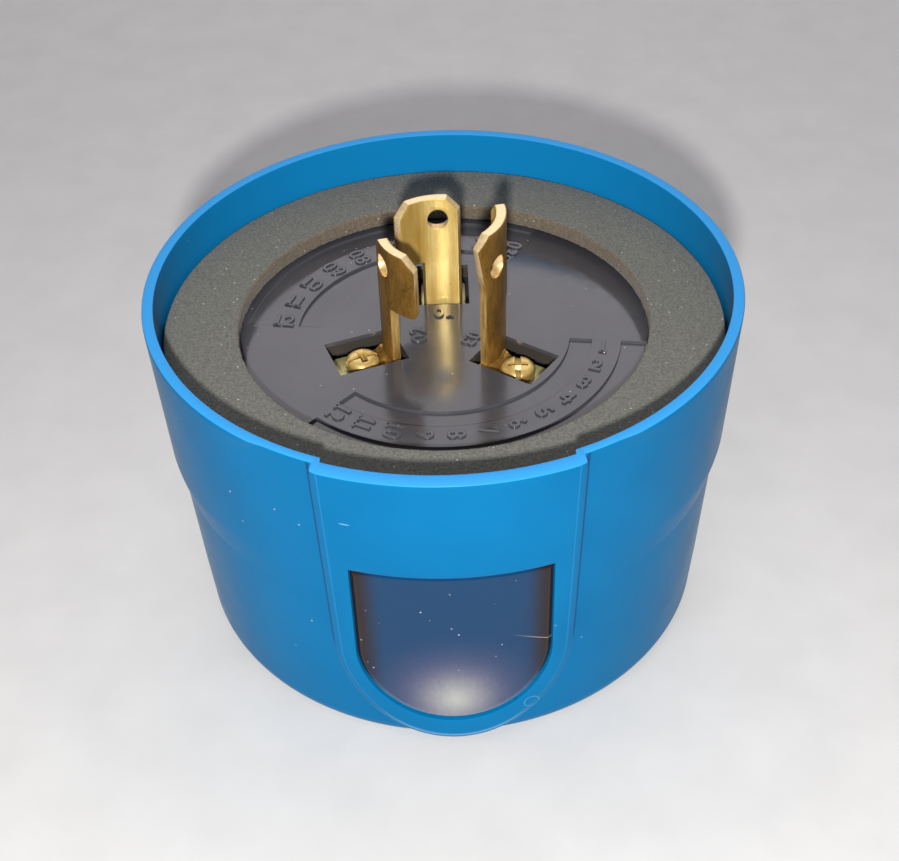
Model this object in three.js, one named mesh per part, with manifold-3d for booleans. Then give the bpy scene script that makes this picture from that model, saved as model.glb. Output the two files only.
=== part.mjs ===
// Twist-lock photocontrol for a street light, lying upside down on its dome.
// Millimetres, +Z up. The origin is the middle of the dome's flat end, which the
// control rests on. The open rim and the three locking blades point up, and the
// window for the light sensor faces -Y.
import * as THREE from 'three';
import { mergeVertices } from 'three/addons/utils/BufferGeometryUtils.js';
import Module from 'manifold-3d';

// Housing: a moulded cup with a slight draft, a wider band under the rim and a
// raised front panel that carries the window.
const RIM_Z = 54;
const RIM_R = 41.6;
const RIM_FRONT_R = 41.3;
const BORE_R = 40;
const BAND_Z = 32.4;
const BAND_R = 40.5;
const SHOULDER_Z = 28.4;
const SHOULDER_R = 39.5;
const WALL_Z = 10.7;
const WALL_R = 38.4;
const DOME_FILLET = 4;
const DOME_R = 37.9;
const BAND_GAP_FROM = -124;
const BAND_GAP_TO = -58.5;
const LEDGE_Z = 42.2;
const LEDGE_R = 37.6;
const SEAT_R = 39.7;
const FLOOR_T = 2.2;

// Front panel and window, both U-shaped when seen from the front.
const FRONT = -90;
const PANEL_RIM_R = 43;
const PANEL_FOOT_R = 39.54;
const PANEL_HALF_TOP = 16.9;
const PANEL_HALF = 16.2;
const PANEL_ARCH_Z = 21.6;
const PANEL_ARCH_H = 18.4;
const WINDOW_HALF = 13.2;
const WINDOW_TOP_Z = 37.4;
const WINDOW_ARCH_Z = 21;
const WINDOW_ARCH_H = 13.6;
const LENS_RECESS = 0.3;
const LENS_FLANGE = 1.5;
const POCKET_DEPTH = 1.7;
const FLANGE_T = 1.1;
const RELIEF_R = 40.8;
const RELIEF_HALF_DEG = 22.5;

// Base plate, foam gasket and blades.
const GAP = 0.3;
const PLATE_TOP_Z = 44.8;
const PLATE_T = 2.3;
const PLATE_R = 39.3;
const GASKET_Z = 47.8;
const GASKET_R = 39.4;
const GASKET_BORE_R = 29;
const SLOT_ANGLES = { load: 90, line: 200, neutral: 325 };
const SLOT_W = 7.65;
const SLOT_IN = 6.7;
const SLOT_OUT = 16.8;
const DATE_POCKET_DEPTH = 0.4;
const DATE_POCKETS = [[18, 21], [25.25, 28.5]];
const DATE_ARCS = [[-133.5, -8], [61, 173.3]];
const BLADE_R_IN = 7.5;
const BLADE_R_OUT = 8.95;
const BLADE_BEVEL = 1.8;
const BLADE_HOLE_D = 3.2;
const BLADE_HOLE_Z = 58.9;
const BLADE_HOLE_IN = 0.45;

// The blades. side is the plain edge below and at the top, end the other edge of the
// shank and hook the tip of the hook, all in degrees from the blade's slot.
const BLADES = {
  load: { side: [-18.5, -18.5], end: 18.5, hook: 47.4, top: 62.2, hookZ: 52 },
  line: { side: [-18.5, -18.5], end: 14.5, hook: 44.5, top: 62.2, hookZ: 52.8 },
  neutral: { side: [-13.5, -21.9], end: 23.5, hook: 58.5, top: 64.8, hookZ: 52 },
};
const FLARE_FROM = 3.5;
const FLARE_TO = 8.5;
const FOOT_T = 1.4;
const FOOT_W = 6.7;
const FOOT_OUT = 16.5;
const FOOT_TOP_Z = PLATE_TOP_Z - PLATE_T - GAP;

// Terminal screws and nuts, the carrier they clamp to, and the board below it.
const SCREW_R = 12.4;
const SCREW_D = 2.9;
const SCREW_HEAD_D = 4.9;
const SCREW_HEAD_H = 1.8;
const NUT_AF = 5.5;
const NUT_T = 2.2;
const CARRIER_R = 36.8;
const CARRIER_TOP_Z = FOOT_TOP_Z - FOOT_T - GAP;
const CARRIER_T = 3;
const CARRIER_Z = CARRIER_TOP_Z - CARRIER_T;
const BOARD_R = 33;
const BOARD_T = 1.6;
const BOARD_TOP_Z = 32.6;
const BOARD_Z = BOARD_TOP_Z - BOARD_T;
const POST_R = 28.5;
const POST_ANGLES = [30, 140, 236];
const BOSS_R = 28;
const BOSS_ANGLES = [58, 178, 298];
const SMALL_SCREW_D = 2;
const SMALL_HEAD_D = 4.4;

// Leads: the hole each passes through and its pad on the board.
const WIRE_D = 1.6;
const WIRE_HOLE_R = 20;
const WIRE_HOLE_TURN = 24;
const PAD_R = 22;
const PAD_TURN = 28;

// Light sensor and its tube, facing the window.
const SENSOR = { y: -27.5, z: 23, r: 5.2, t: 2.4, legX: 2.2, legR: 0.35 };
const TUBE = { inner: 5.5, outer: 6.6, half: 3.4, back: 2, stemW: 5, stemT: 1.6, stemUp: 5.8 };

// Parts hung under the board. Drops and depths run down from its underside.
const FILM = { x: 11.5, y: 13, l: 18, w: 7.5, h: 13.5, drop: 15, legX: 7.5, legR: 0.4 };
const CAN = { x: 10, y: -3, r: 5, foot: 17, waist: 2.9, top: 1, legX: 2, legR: 0.35 };
const PILL = { x: -14, y: -14, r: 5.2, half: 1.8, drop: 8.5, legX: 2.5, legR: 0.4 };
const DIODE = { x: 21, y: -4, pitch: 4.2, r: 1.35, l: 5, drop: 2.6, bands: 0 };
const RESISTOR = { x: -1, y: -13, shift: 1.5, pitch: 4.2, r: 1.1, l: 6, drop: 2.4, bands: 0.25 };
const LEG_R = 0.35;
const LEG_REACH = 2;

// Relay, hung under the board. x runs from the coil's axis, w is a width in y and
// d is a pair of depths.
const RELAY_X = -13;
const RELAY_Y = 5;
const CASE = { x: [-11.6, 10.2], w: 14.8, d: [0.3, 21], wall: 0.8 };
const RELAY_BASE = { x: [-10.5, 9.1], w: 12.6, d: [0.3, 2.1] };
const YOKE = { x: [-4, 8.4], w: 8, d: [2.4, 14.5], t: 1.2 };
const BOBBIN = { bore: 2.3, tube: 3.1, flange: 5.6, d: [3.9, 13], t: 0.8 };
const COIL = { inner: 3.4, outer: 5.3, d: [5, 11.9] };
const CORE = { r: 2, pole: 3.2, d: [3.9, 14.1], t: 0.8 };
const HINGE_SPRING = { x: [5.5, 9], w: 5, d: [4, 16.5], t: 0.3 };
const BRACKET = { x: [-10.4, -6.4], w: 4, d: [2.4, 19.5], t: 0.5 };
const ARMATURE = { x: [-4.5, 8.5], w: 8, d: [14.9, 15.9] };
const LEAF = { x: [-9.3, 4.8], w: 4, d: [16.2, 16.5] };
const CONTACT = { x: -8, r: 1.3, fixed: [17.9, 18.7], moving: [16.8, 17.6] };

// Finishes, as sRGB.
const BLUE = 0x2486c8;
const SMOKE = 0x141420;
const BLACK = 0x2a2830;
const FOAM = 0x55575a;
const BRASS = 0xc9a04e;
const STEEL = 0xa9adb2;
const BOARD_GREEN = 0x2c6b3f;
const COPPER = 0xb06a3a;
const CREAM = 0xd9cfae;
const SILVER = 0xd6d6d2;

const wasm = await Module();
wasm.setup();

const rad = THREE.MathUtils.degToRad;

// A manifold solid from a closed three.js geometry.
function solid(geometry) {
  const bare = geometry.clone();
  bare.deleteAttribute('normal');
  bare.deleteAttribute('uv');
  const merged = mergeVertices(bare, 1e-5);
  const vertProperties = new Float32Array(merged.attributes.position.array);
  const triVerts = new Uint32Array(merged.index.array);
  return new wasm.Manifold(new wasm.Mesh({ numProp: 3, vertProperties, triVerts }));
}

function toGeometry(manifold) {
  const mesh = manifold.getMesh();
  const geometry = new THREE.BufferGeometry();
  geometry.setAttribute('position', new THREE.BufferAttribute(mesh.vertProperties, 3));
  geometry.setIndex(new THREE.BufferAttribute(mesh.triVerts, 1));
  geometry.computeVertexNormals();
  return geometry;
}

// A solid of revolution about +Z from [radius, z] corners, bottom to top.
function turned(corners, segments = 72) {
  const points = corners.map(([r, z]) => new THREE.Vector2(r, z));
  return solid(new THREE.LatheGeometry(points, segments).rotateX(Math.PI / 2));
}

// A solid of revolution that starts and ends on its own axis, or a washer.
function disc(radius, low, high, segments = 72) {
  return turned([[0, low], [radius, low], [radius, high], [0, high]], segments);
}

function washer(inner, outer, low, high, segments = 72) {
  const corners = [[inner, low], [outer, low], [outer, high], [inner, high], [inner, low]];
  return turned(corners, segments);
}

function box(size, centre) {
  return solid(new THREE.BoxGeometry(...size).translate(...centre));
}

function polygon(corners) {
  return new THREE.Shape(corners.map(([x, y]) => new THREE.Vector2(x, y)));
}

// A flat outline in X and Y, raised from low to high.
function upright(shape, low, high, curveSegments = 8) {
  const options = { depth: high - low, bevelEnabled: false, curveSegments };
  return solid(new THREE.ExtrudeGeometry(shape, options).translate(0, 0, low));
}

// An outline drawn as [tangent, z] at one bearing, pushed out from radius near to far.
function radial(shape, angle, near, far, curveSegments = 10) {
  const options = { depth: far - near, bevelEnabled: false, curveSegments };
  const geometry = new THREE.ExtrudeGeometry(shape, options).translate(0, 0, near);
  const a = rad(angle);
  const tangent = new THREE.Vector3(-Math.sin(a), Math.cos(a), 0);
  const out = new THREE.Vector3(Math.cos(a), Math.sin(a), 0);
  const up = new THREE.Vector3(0, 0, 1);
  return solid(geometry.applyMatrix4(new THREE.Matrix4().makeBasis(tangent, up, out)));
}

// A ring segment between two radii and two bearings.
function arcBar(inner, outer, from, to, low, high, curveSegments = 8) {
  const shape = new THREE.Shape();
  shape.absarc(0, 0, outer, rad(from), rad(to), false);
  shape.absarc(0, 0, inner, rad(to), rad(from), true);
  return upright(shape, low, high, curveSegments);
}

function wedge(radius, from, to, low, high) {
  const shape = new THREE.Shape();
  shape.moveTo(0, 0);
  shape.absarc(0, 0, radius, rad(from), rad(to), false);
  return upright(shape, low, high);
}

function rod(points, radius, sides = 3, steps = 6) {
  const path = new THREE.CatmullRomCurve3(points.map((p) => new THREE.Vector3(...p)), false, 'centripetal');
  const shape = new THREE.Shape().absarc(0, 0, radius, 0, 2 * Math.PI, false);
  const options = { steps, curveSegments: sides, extrudePath: path, bevelEnabled: false };
  return solid(new THREE.ExtrudeGeometry(shape, options));
}

function place(manifold, angle, radius, z = 0) {
  const a = rad(angle);
  return manifold.rotate([0, 0, angle]).translate([radius * Math.cos(a), radius * Math.sin(a), z]);
}

function sum(pieces) {
  return pieces.reduce((whole, piece) => whole.add(piece));
}

// The U outline shared by the panel, the window and the lens.
function archOutline(half, topHalf, top, archZ, archH) {
  const shape = new THREE.Shape();
  shape.moveTo(-topHalf, top);
  shape.lineTo(-half, archZ);
  shape.absellipse(0, archZ, half, archH, Math.PI, 2 * Math.PI, false, 0);
  shape.lineTo(topHalf, top);
  return shape;
}

function windowOutline(margin) {
  const half = WINDOW_HALF + margin;
  return archOutline(half, half, WINDOW_TOP_Z + margin, WINDOW_ARCH_Z, WINDOW_ARCH_H + margin);
}

// The front panel's drafted face, moved inwards by depth.
function panelCone(depth) {
  return turned([[0, 0], [PANEL_FOOT_R - depth, 0], [PANEL_RIM_R - depth, RIM_Z], [0, RIM_Z]]);
}

function filletCorners(radius, height, fillet, steps) {
  const corners = [];
  for (let i = 0; i <= steps; i += 1) {
    const a = (i / steps) * Math.PI / 2;
    corners.push([radius - fillet + fillet * Math.sin(a), height + fillet - fillet * Math.cos(a)]);
  }
  return corners;
}

function housingOutside() {
  const dome = filletCorners(DOME_R, 0, DOME_FILLET, 4);
  const wall = [[WALL_R, WALL_Z], [SHOULDER_R, SHOULDER_Z], [RIM_FRONT_R, RIM_Z], [0, RIM_Z]];
  const shell = turned([[0, 0], ...dome, ...wall]);
  const bandWall = [[SHOULDER_R, SHOULDER_Z], [BAND_R, BAND_Z], [RIM_R, RIM_Z], [0, RIM_Z]];
  const band = turned([[0, SHOULDER_Z], ...bandWall]);
  const bandGap = wedge(60, BAND_GAP_FROM, BAND_GAP_TO, 0, RIM_Z + 10);
  const outline = archOutline(PANEL_HALF, PANEL_HALF_TOP, RIM_Z + 5, PANEL_ARCH_Z, PANEL_ARCH_H);
  const panel = panelCone(0).intersect(radial(outline, FRONT, 25, 50));
  return sum([shell, band.subtract(bandGap), panel]);
}

function housingInside() {
  const floor = filletCorners(DOME_R - 1.7, FLOOR_T, 2.6, 3);
  const wall = [[37.4, SHOULDER_Z], [LEDGE_R, LEDGE_Z], [SEAT_R, LEDGE_Z], [BORE_R, RIM_Z + 1]];
  return turned([[0, FLOOR_T], ...floor, ...wall, [0, RIM_Z + 1]]);
}

function housing() {
  const from = FRONT - RELIEF_HALF_DEG;
  const to = FRONT + RELIEF_HALF_DEG;
  const relief = arcBar(38, RELIEF_R, from, to, LEDGE_Z, RIM_Z + 1);
  const opening = radial(windowOutline(0), FRONT, 30, 50);
  const pocketOutline = windowOutline(LENS_FLANGE);
  const pocket = panelCone(POCKET_DEPTH).intersect(radial(pocketOutline, FRONT, 30, 50));
  return housingOutside().subtract(sum([housingInside(), relief, opening, pocket]));
}

function windowLens() {
  const back = POCKET_DEPTH + GAP;
  const pane = panelCone(LENS_RECESS).subtract(panelCone(back + FLANGE_T));
  const boss = pane.intersect(radial(windowOutline(-GAP), FRONT, 30, 50));
  const flangeShell = panelCone(back).subtract(panelCone(back + FLANGE_T));
  const flange = flangeShell.intersect(radial(windowOutline(LENS_FLANGE - GAP), FRONT, 30, 50));
  return boss.add(flange);
}

function slot(low, high) {
  const length = SLOT_OUT - SLOT_IN;
  return box([length, SLOT_W, high - low], [(SLOT_IN + SLOT_OUT) / 2, 0, (low + high) / 2]);
}

// Shallow pockets on both sides of the month scale at the front and the dial at the back.
function datePockets() {
  const low = PLATE_TOP_Z - DATE_POCKET_DEPTH;
  const pocket = ([inner, outer], [from, to]) => arcBar(inner, outer, from, to, low, PLATE_TOP_Z + 1);
  return sum(DATE_ARCS.flatMap((arc) => DATE_POCKETS.map((radii) => pocket(radii, arc))));
}

function basePlate() {
  const low = PLATE_TOP_Z - PLATE_T;
  const cuts = Object.values(SLOT_ANGLES).map((a) => slot(low - 1, PLATE_TOP_Z + 1).rotate([0, 0, a]));
  const boss = disc(3, CARRIER_TOP_Z + GAP, low + 0.5, 24);
  const pilot = disc(SMALL_SCREW_D / 2 + 0.15, CARRIER_TOP_Z, low + 1.4, 16);
  const bosses = BOSS_ANGLES.map((a) => place(boss, a, BOSS_R));
  const pilots = BOSS_ANGLES.map((a) => place(pilot, a, BOSS_R));
  const body = sum([disc(PLATE_R, low, PLATE_TOP_Z), ...bosses]);
  return body.subtract(sum([...cuts, ...pilots, datePockets()]));
}

function gasket() {
  const low = PLATE_TOP_Z + GAP;
  const ring = washer(GASKET_BORE_R, GASKET_R, low, GASKET_Z);
  const half = RELIEF_HALF_DEG - 1;
  const front = arcBar(GASKET_R - 2, RELIEF_R - 0.5, FRONT - half, FRONT + half, low, GASKET_Z);
  return ring.add(front);
}

// Corner cut off the top of a blade, measured along the blade's mid radius.
function bladeBevel(angle, towards, top) {
  const long = 4 * BLADE_BEVEL;
  const corners = [[-BLADE_BEVEL * towards, top], [long * towards, top - long - BLADE_BEVEL]];
  corners.push([long * towards, top + 1], [-BLADE_BEVEL * towards, top + 1]);
  const shape = polygon(towards > 0 ? corners : corners.reverse());
  return radial(shape, angle, BLADE_R_IN - 3, BLADE_R_OUT + 3);
}

// What is cut off a blade's plain edge so that it flares towards the top.
function flareCut({ side, hookZ }, low) {
  const reach = rad(side[0] - side[1]) * BLADE_R_OUT;
  const corners = [[0, low - 1], [-3 * reach, low - 1], [-3 * reach, hookZ + 3 * FLARE_TO]];
  corners.push([-reach, hookZ + FLARE_TO], [0, hookZ + FLARE_FROM]);
  return radial(polygon(corners.reverse()), side[0], BLADE_R_IN - 3, BLADE_R_OUT + 3);
}

// A locking blade: a curved shank with a hook at the top and a foot below the plate.
function blade(name) {
  const shape = BLADES[name];
  const { side, end, hook, top, hookZ } = shape;
  const low = FOOT_TOP_Z - FOOT_T;
  const shank = arcBar(BLADE_R_IN, BLADE_R_OUT, side[1], hook, low, top);
  const cuts = [arcBar(5, 12, end, hook + 20, low - 1, hookZ)];
  cuts.push(bladeBevel(hook, 1, top), bladeBevel(side[1], -1, top));
  if (side[0] !== side[1]) {
    cuts.push(flareCut(shape, low));
  }
  const circle = new THREE.Shape();
  circle.absarc(BLADE_HOLE_IN, BLADE_HOLE_Z, BLADE_HOLE_D / 2, 0, 2 * Math.PI, false);
  cuts.push(radial(circle, 0, BLADE_R_IN - 2, BLADE_R_OUT + 2));
  const footLength = FOOT_OUT - BLADE_R_IN - 0.6;
  const foot = box([footLength, FOOT_W, FOOT_T], [FOOT_OUT - footLength / 2, 0, FOOT_TOP_Z - FOOT_T / 2]);
  const screwHole = disc(SCREW_D / 2 + 0.2, low - 1, FOOT_TOP_Z + 1, 24).translate([SCREW_R, 0, 0]);
  const body = shank.subtract(sum(cuts));
  return body.add(foot).subtract(screwHole).rotate([0, 0, SLOT_ANGLES[name]]);
}

// A pan-head screw pointing down from z, with a slot and a cross in its head.
function screw(headD, headH, shankD, length, recess) {
  const r = headD / 2;
  const head = [[shankD / 2, 0], [r, 0], [r, headH * 0.45], [r * 0.8, headH * 0.85], [0, headH]];
  const body = turned([[0, -length], [shankD / 2 - 0.3, -length], [shankD / 2, 0.6 - length], ...head], 20);
  const slotCut = box([headD + 1, recess, headH], [0, 0, headH]);
  const cross = box([recess, headD * 0.55, headH], [0, 0, headH]);
  return body.subtract(slotCut.add(cross));
}

function terminalScrew(name) {
  const length = FOOT_TOP_Z + GAP - (CARRIER_Z - NUT_T - 1.2);
  const one = screw(SCREW_HEAD_D, SCREW_HEAD_H, SCREW_D, length, 0.7);
  return place(one.rotate([0, 0, 55]), SLOT_ANGLES[name], SCREW_R, FOOT_TOP_Z + GAP);
}

function terminalNut(name) {
  const hex = new THREE.Shape();
  const corner = NUT_AF / 2 / Math.cos(Math.PI / 6);
  for (let i = 0; i < 6; i += 1) {
    const a = i * Math.PI / 3;
    hex[i === 0 ? 'moveTo' : 'lineTo'](corner * Math.cos(a), corner * Math.sin(a));
  }
  const top = CARRIER_Z - GAP;
  const nut = upright(hex, top - NUT_T, top);
  const bore = disc(SCREW_D / 2 + 0.05, top - NUT_T - 1, top + 1, 20);
  return place(nut.subtract(bore), SLOT_ANGLES[name], SCREW_R);
}

// The moulded carrier the blades are screwed to, with posts for the circuit board.
function terminalCarrier() {
  const plate = disc(CARRIER_R, CARRIER_Z, CARRIER_TOP_Z, 72);
  const post = disc(2.6, BOARD_TOP_Z + GAP, CARRIER_Z + 0.5, 24);
  const pilot = disc(SMALL_SCREW_D / 2 + 0.15, BOARD_TOP_Z, CARRIER_Z + 1, 16);
  const clear = disc(SMALL_SCREW_D / 2 + 0.3, CARRIER_Z - 1, CARRIER_TOP_Z + 1, 16);
  const bolt = disc(SCREW_D / 2 + 0.3, CARRIER_Z - 1, CARRIER_TOP_Z + 1, 20);
  const posts = POST_ANGLES.map((a) => place(post, a, POST_R));
  const pilots = POST_ANGLES.map((a) => place(pilot, a, POST_R));
  const clears = BOSS_ANGLES.map((a) => place(clear, a, BOSS_R));
  const bolts = Object.values(SLOT_ANGLES).map((a) => place(bolt, a, SCREW_R));
  const wires = Object.values(SLOT_ANGLES).map((a) => place(bolt, a + WIRE_HOLE_TURN, WIRE_HOLE_R));
  return sum([plate, ...posts]).subtract(sum([...pilots, ...clears, ...bolts, ...wires]));
}

function carrierScrew(angle) {
  const one = screw(SMALL_HEAD_D, 1.6, SMALL_SCREW_D, 6.2, 0.6).rotate([180, 0, 0]);
  return place(one, angle, BOSS_R, CARRIER_Z - GAP);
}

function boardScrew(angle) {
  const one = screw(SMALL_HEAD_D, 1.6, SMALL_SCREW_D, 6, 0.6).rotate([180, 0, 0]);
  return place(one, angle, POST_R, BOARD_Z - GAP);
}

function circuitBoard() {
  const hole = disc(SMALL_SCREW_D / 2 + 0.3, BOARD_Z - 1, BOARD_TOP_Z + 1, 16);
  const holes = POST_ANGLES.map((a) => place(hole, a, POST_R));
  const frontFlat = box([60, 10, 10], [0, -BOARD_R, BOARD_Z]);
  return disc(BOARD_R, BOARD_Z, BOARD_TOP_Z, 72).subtract(sum([...holes, frontFlat]));
}

// Insulated lead from a terminal nut, round to its solder pad on the board.
function terminalWire(name) {
  const a = rad(SLOT_ANGLES[name]);
  const b = rad(SLOT_ANGLES[name] + PAD_TURN);
  const at = (angle, r, z) => [r * Math.cos(angle), r * Math.sin(angle), z];
  const start = SCREW_R + NUT_AF / 2 + 1;
  const z = CARRIER_Z - GAP - NUT_T / 2;
  const path = [at(a, start, z), at(a, start + 4, z)];
  path.push(at(b, PAD_R, z - 1), at(b, PAD_R, BOARD_TOP_Z + GAP));
  return rod(path, WIRE_D / 2, 5, 8);
}

// Light-dependent resistor behind the window, on two legs from the board.
function lightSensor() {
  const { y, z, r, t, legX, legR } = SENSOR;
  const body = disc(r, 0, t, 32).rotate([90, 0, 0]).translate([0, y, z]);
  const legs = [-legX, legX].map((x) => {
    const path = [[x, y - 0.5, z + 2], [x, y + 2, z + 2], [x, y + 3, z + 4], [x, y + 3, BOARD_Z - GAP]];
    return rod(path, legR);
  });
  return sum([body, ...legs]);
}

// The black tube round the sensor, hung from the board by a stem.
function sensorHolder() {
  const y = SENSOR.y - TUBE.back;
  const tube = washer(TUBE.inner, TUBE.outer, -TUBE.half, TUBE.half, 32);
  const low = SENSOR.z + TUBE.stemUp;
  const high = BOARD_Z - GAP;
  const stem = box([TUBE.stemW, TUBE.stemT, high - low], [0, y, (high + low) / 2]);
  return tube.rotate([90, 0, 0]).translate([0, y, SENSOR.z]).add(stem);
}

// A block of the relay from its x range, width in y and depth range.
function relayBlock({ x, w, d }) {
  const centre = [RELAY_X + (x[0] + x[1]) / 2, RELAY_Y, BOARD_Z - (d[0] + d[1]) / 2];
  return box([x[1] - x[0], w, d[1] - d[0]], centre);
}

function relayRound(inner, outer, d, x = 0) {
  const low = BOARD_Z - d[1];
  const high = BOARD_Z - d[0];
  const one = inner > 0 ? washer(inner, outer, low, high, 20) : disc(outer, low, high, 20);
  return one.translate([RELAY_X + x, RELAY_Y, 0]);
}

function relayCase() {
  const { x, w, d, wall } = CASE;
  const inside = { x: [x[0] + wall, x[1] - wall], w: w - 2 * wall, d: [-1, d[1] - wall] };
  return relayBlock(CASE).subtract(relayBlock(inside));
}

// The L-shaped iron frame round the coil.
function relayYoke() {
  const { x, w, d, t } = YOKE;
  const back = { x, w, d: [d[0], d[0] + t] };
  const side = { x: [x[1] - t, x[1]], w, d };
  return relayBlock(back).add(relayBlock(side));
}

function relayBobbin() {
  const { bore, tube, flange, d, t } = BOBBIN;
  const flanges = relayRound(bore, flange, [d[0], d[0] + t]).add(relayRound(bore, flange, [d[1] - t, d[1]]));
  return flanges.add(relayRound(bore, tube, d));
}

function relayCore() {
  const { r, pole, d, t } = CORE;
  return relayRound(0, r, [d[0], d[1] - t / 2]).add(relayRound(0, pole, [d[1] - t, d[1]]));
}

function relayBracket() {
  const { x, w, d, t } = BRACKET;
  const arm = { x, w, d: [d[1] - t, d[1]] };
  const post = { x: [x[0], x[0] + t], w, d };
  return relayBlock(arm).add(relayBlock(post));
}

function relayHingeSpring() {
  const { x, w, d, t } = HINGE_SPRING;
  const leaf = { x: [x[1] - t, x[1]], w, d };
  const lip = { x, w, d: [d[1] - t, d[1]] };
  return relayBlock(leaf).add(relayBlock(lip));
}

// A part lying along X with a leg at each end bent up to the board.
function axial({ r, l, drop, bands }, x, y) {
  const half = l / 2;
  const reach = half + LEG_REACH;
  const body = disc(r, -half, half, 12).rotate([0, 90, 0]);
  const end = disc(r + bands, -0.8, 0.8, 12).rotate([0, 90, 0]);
  const ends = [-1, 1].map((s) => end.translate([s * (half - 0.8), 0, 0]));
  const bent = (s) => [[s * (half - 0.5), 0, 0], [s * (reach - 0.6), 0, 0], [s * reach, 0, 0.6]];
  const legs = [-1, 1].map((s) => rod([...bent(s), [s * reach, 0, drop - GAP]], LEG_R));
  return sum([body, ...(bands > 0 ? ends : []), ...legs]).translate([x, y, BOARD_Z - drop]);
}

function straightLeg(radius, drop) {
  return disc(radius, BOARD_Z - drop, BOARD_Z - GAP, 10);
}

function filmCapacitor() {
  const { x, y, l, w, h, drop, legX, legR } = FILM;
  const body = box([l, w, h], [x, y, BOARD_Z - drop + h / 2]);
  const legs = [-legX, legX].map((dx) => straightLeg(legR, 2).translate([x + dx, y, 0]));
  return sum([body, ...legs]);
}

function filterCapacitor() {
  const { x, y, r, foot, waist, top, legX, legR } = CAN;
  const shoulder = [[r, -waist - 0.3], [r - 0.4, -waist], [r - 0.4, 0.4 - waist], [r, 0.7 - waist]];
  const profile = [[0, -foot], [r - 0.6, -foot], [r, 0.6 - foot], ...shoulder, [r, -top], [0, -top]];
  const can = turned(profile, 32).translate([x, y, BOARD_Z]);
  const legs = [-legX, legX].map((dx) => straightLeg(legR, 1.5).translate([x + dx, y, 0]));
  return sum([can, ...legs]);
}

function varistor() {
  const { x, y, r, half, drop, legX, legR } = PILL;
  const pill = disc(r, -half, half, 32).rotate([90, 0, 0]).translate([x, y, BOARD_Z - drop]);
  const legs = [-legX, legX].map((dx) => straightLeg(legR, 6).translate([x + dx, y, 0]));
  return sum([pill, ...legs]);
}

const control = new THREE.Group();
control.name = 'twist_lock_photocontrol';

function add(name, manifold, color, metalness = 0, roughness = 0.5) {
  const material = new THREE.MeshStandardMaterial({ color, metalness, roughness });
  const mesh = new THREE.Mesh(toGeometry(manifold), material);
  mesh.name = name;
  control.add(mesh);
}

add('housing', housing(), BLUE, 0, 0.35);
add('window_lens', windowLens(), SMOKE, 0, 0.1);
add('base_plate', basePlate(), BLACK, 0, 0.25);
add('gasket', gasket(), FOAM, 0, 0.95);
Object.keys(BLADES).forEach((name) => add(`blade_${name}`, blade(name), BRASS, 1, 0.35));
for (const name of Object.keys(SLOT_ANGLES)) {
  add(`terminal_screw_${name}`, terminalScrew(name), BRASS, 1, 0.35);
  add(`terminal_nut_${name}`, terminalNut(name), BRASS, 1, 0.4);
  add(`wire_${name}`, terminalWire(name), BLACK, 0, 0.6);
}
add('terminal_carrier', terminalCarrier(), BLACK, 0, 0.6);
add('circuit_board', circuitBoard(), BOARD_GREEN, 0, 0.5);
BOSS_ANGLES.forEach((angle, i) => add(`carrier_screw_${i + 1}`, carrierScrew(angle), STEEL, 1, 0.4));
POST_ANGLES.forEach((angle, i) => add(`board_screw_${i + 1}`, boardScrew(angle), STEEL, 1, 0.4));
add('light_sensor', lightSensor(), CREAM, 0, 0.4);
add('sensor_holder', sensorHolder(), BLACK, 0, 0.7);
add('film_capacitor', filmCapacitor(), CREAM, 0, 0.4);
add('filter_capacitor', filterCapacitor(), BLACK, 0, 0.4);
add('varistor', varistor(), BLUE, 0, 0.5);
for (let i = 0; i < 4; i += 1) {
  add(`diode_${i + 1}`, axial(DIODE, DIODE.x, DIODE.y - DIODE.pitch * i), BLACK, 0, 0.5);
}
for (let i = 0; i < 3; i += 1) {
  const one = axial(RESISTOR, RESISTOR.x + RESISTOR.shift * i, RESISTOR.y - RESISTOR.pitch * i);
  add(`resistor_${i + 1}`, one, CREAM, 0, 0.6);
}
add('relay_base', relayBlock(RELAY_BASE), BLACK, 0, 0.6);
add('relay_case', relayCase(), BLACK, 0, 0.4);
add('relay_yoke', relayYoke(), STEEL, 1, 0.4);
add('relay_bobbin', relayBobbin(), CREAM, 0, 0.5);
add('relay_coil', relayRound(COIL.inner, COIL.outer, COIL.d), COPPER, 1, 0.4);
add('relay_core', relayCore(), STEEL, 1, 0.4);
add('relay_hinge_spring', relayHingeSpring(), COPPER, 1, 0.4);
add('relay_fixed_bracket', relayBracket(), COPPER, 1, 0.4);
add('relay_fixed_contact', relayRound(0, CONTACT.r, CONTACT.fixed, CONTACT.x), SILVER, 1, 0.3);
add('relay_armature', relayBlock(ARMATURE), STEEL, 1, 0.4);
add('relay_contact_spring', relayBlock(LEAF), COPPER, 1, 0.4);
add('relay_moving_contact', relayRound(0, CONTACT.r, CONTACT.moving, CONTACT.x), SILVER, 1, 0.3);

export default control;
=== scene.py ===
"""Looks for a twist-lock photocontrol lying on its dome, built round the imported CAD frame."""

import math
from contextlib import contextmanager

import bmesh
import bpy
import numpy as np
from mathutils import Matrix, Vector, noise

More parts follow.
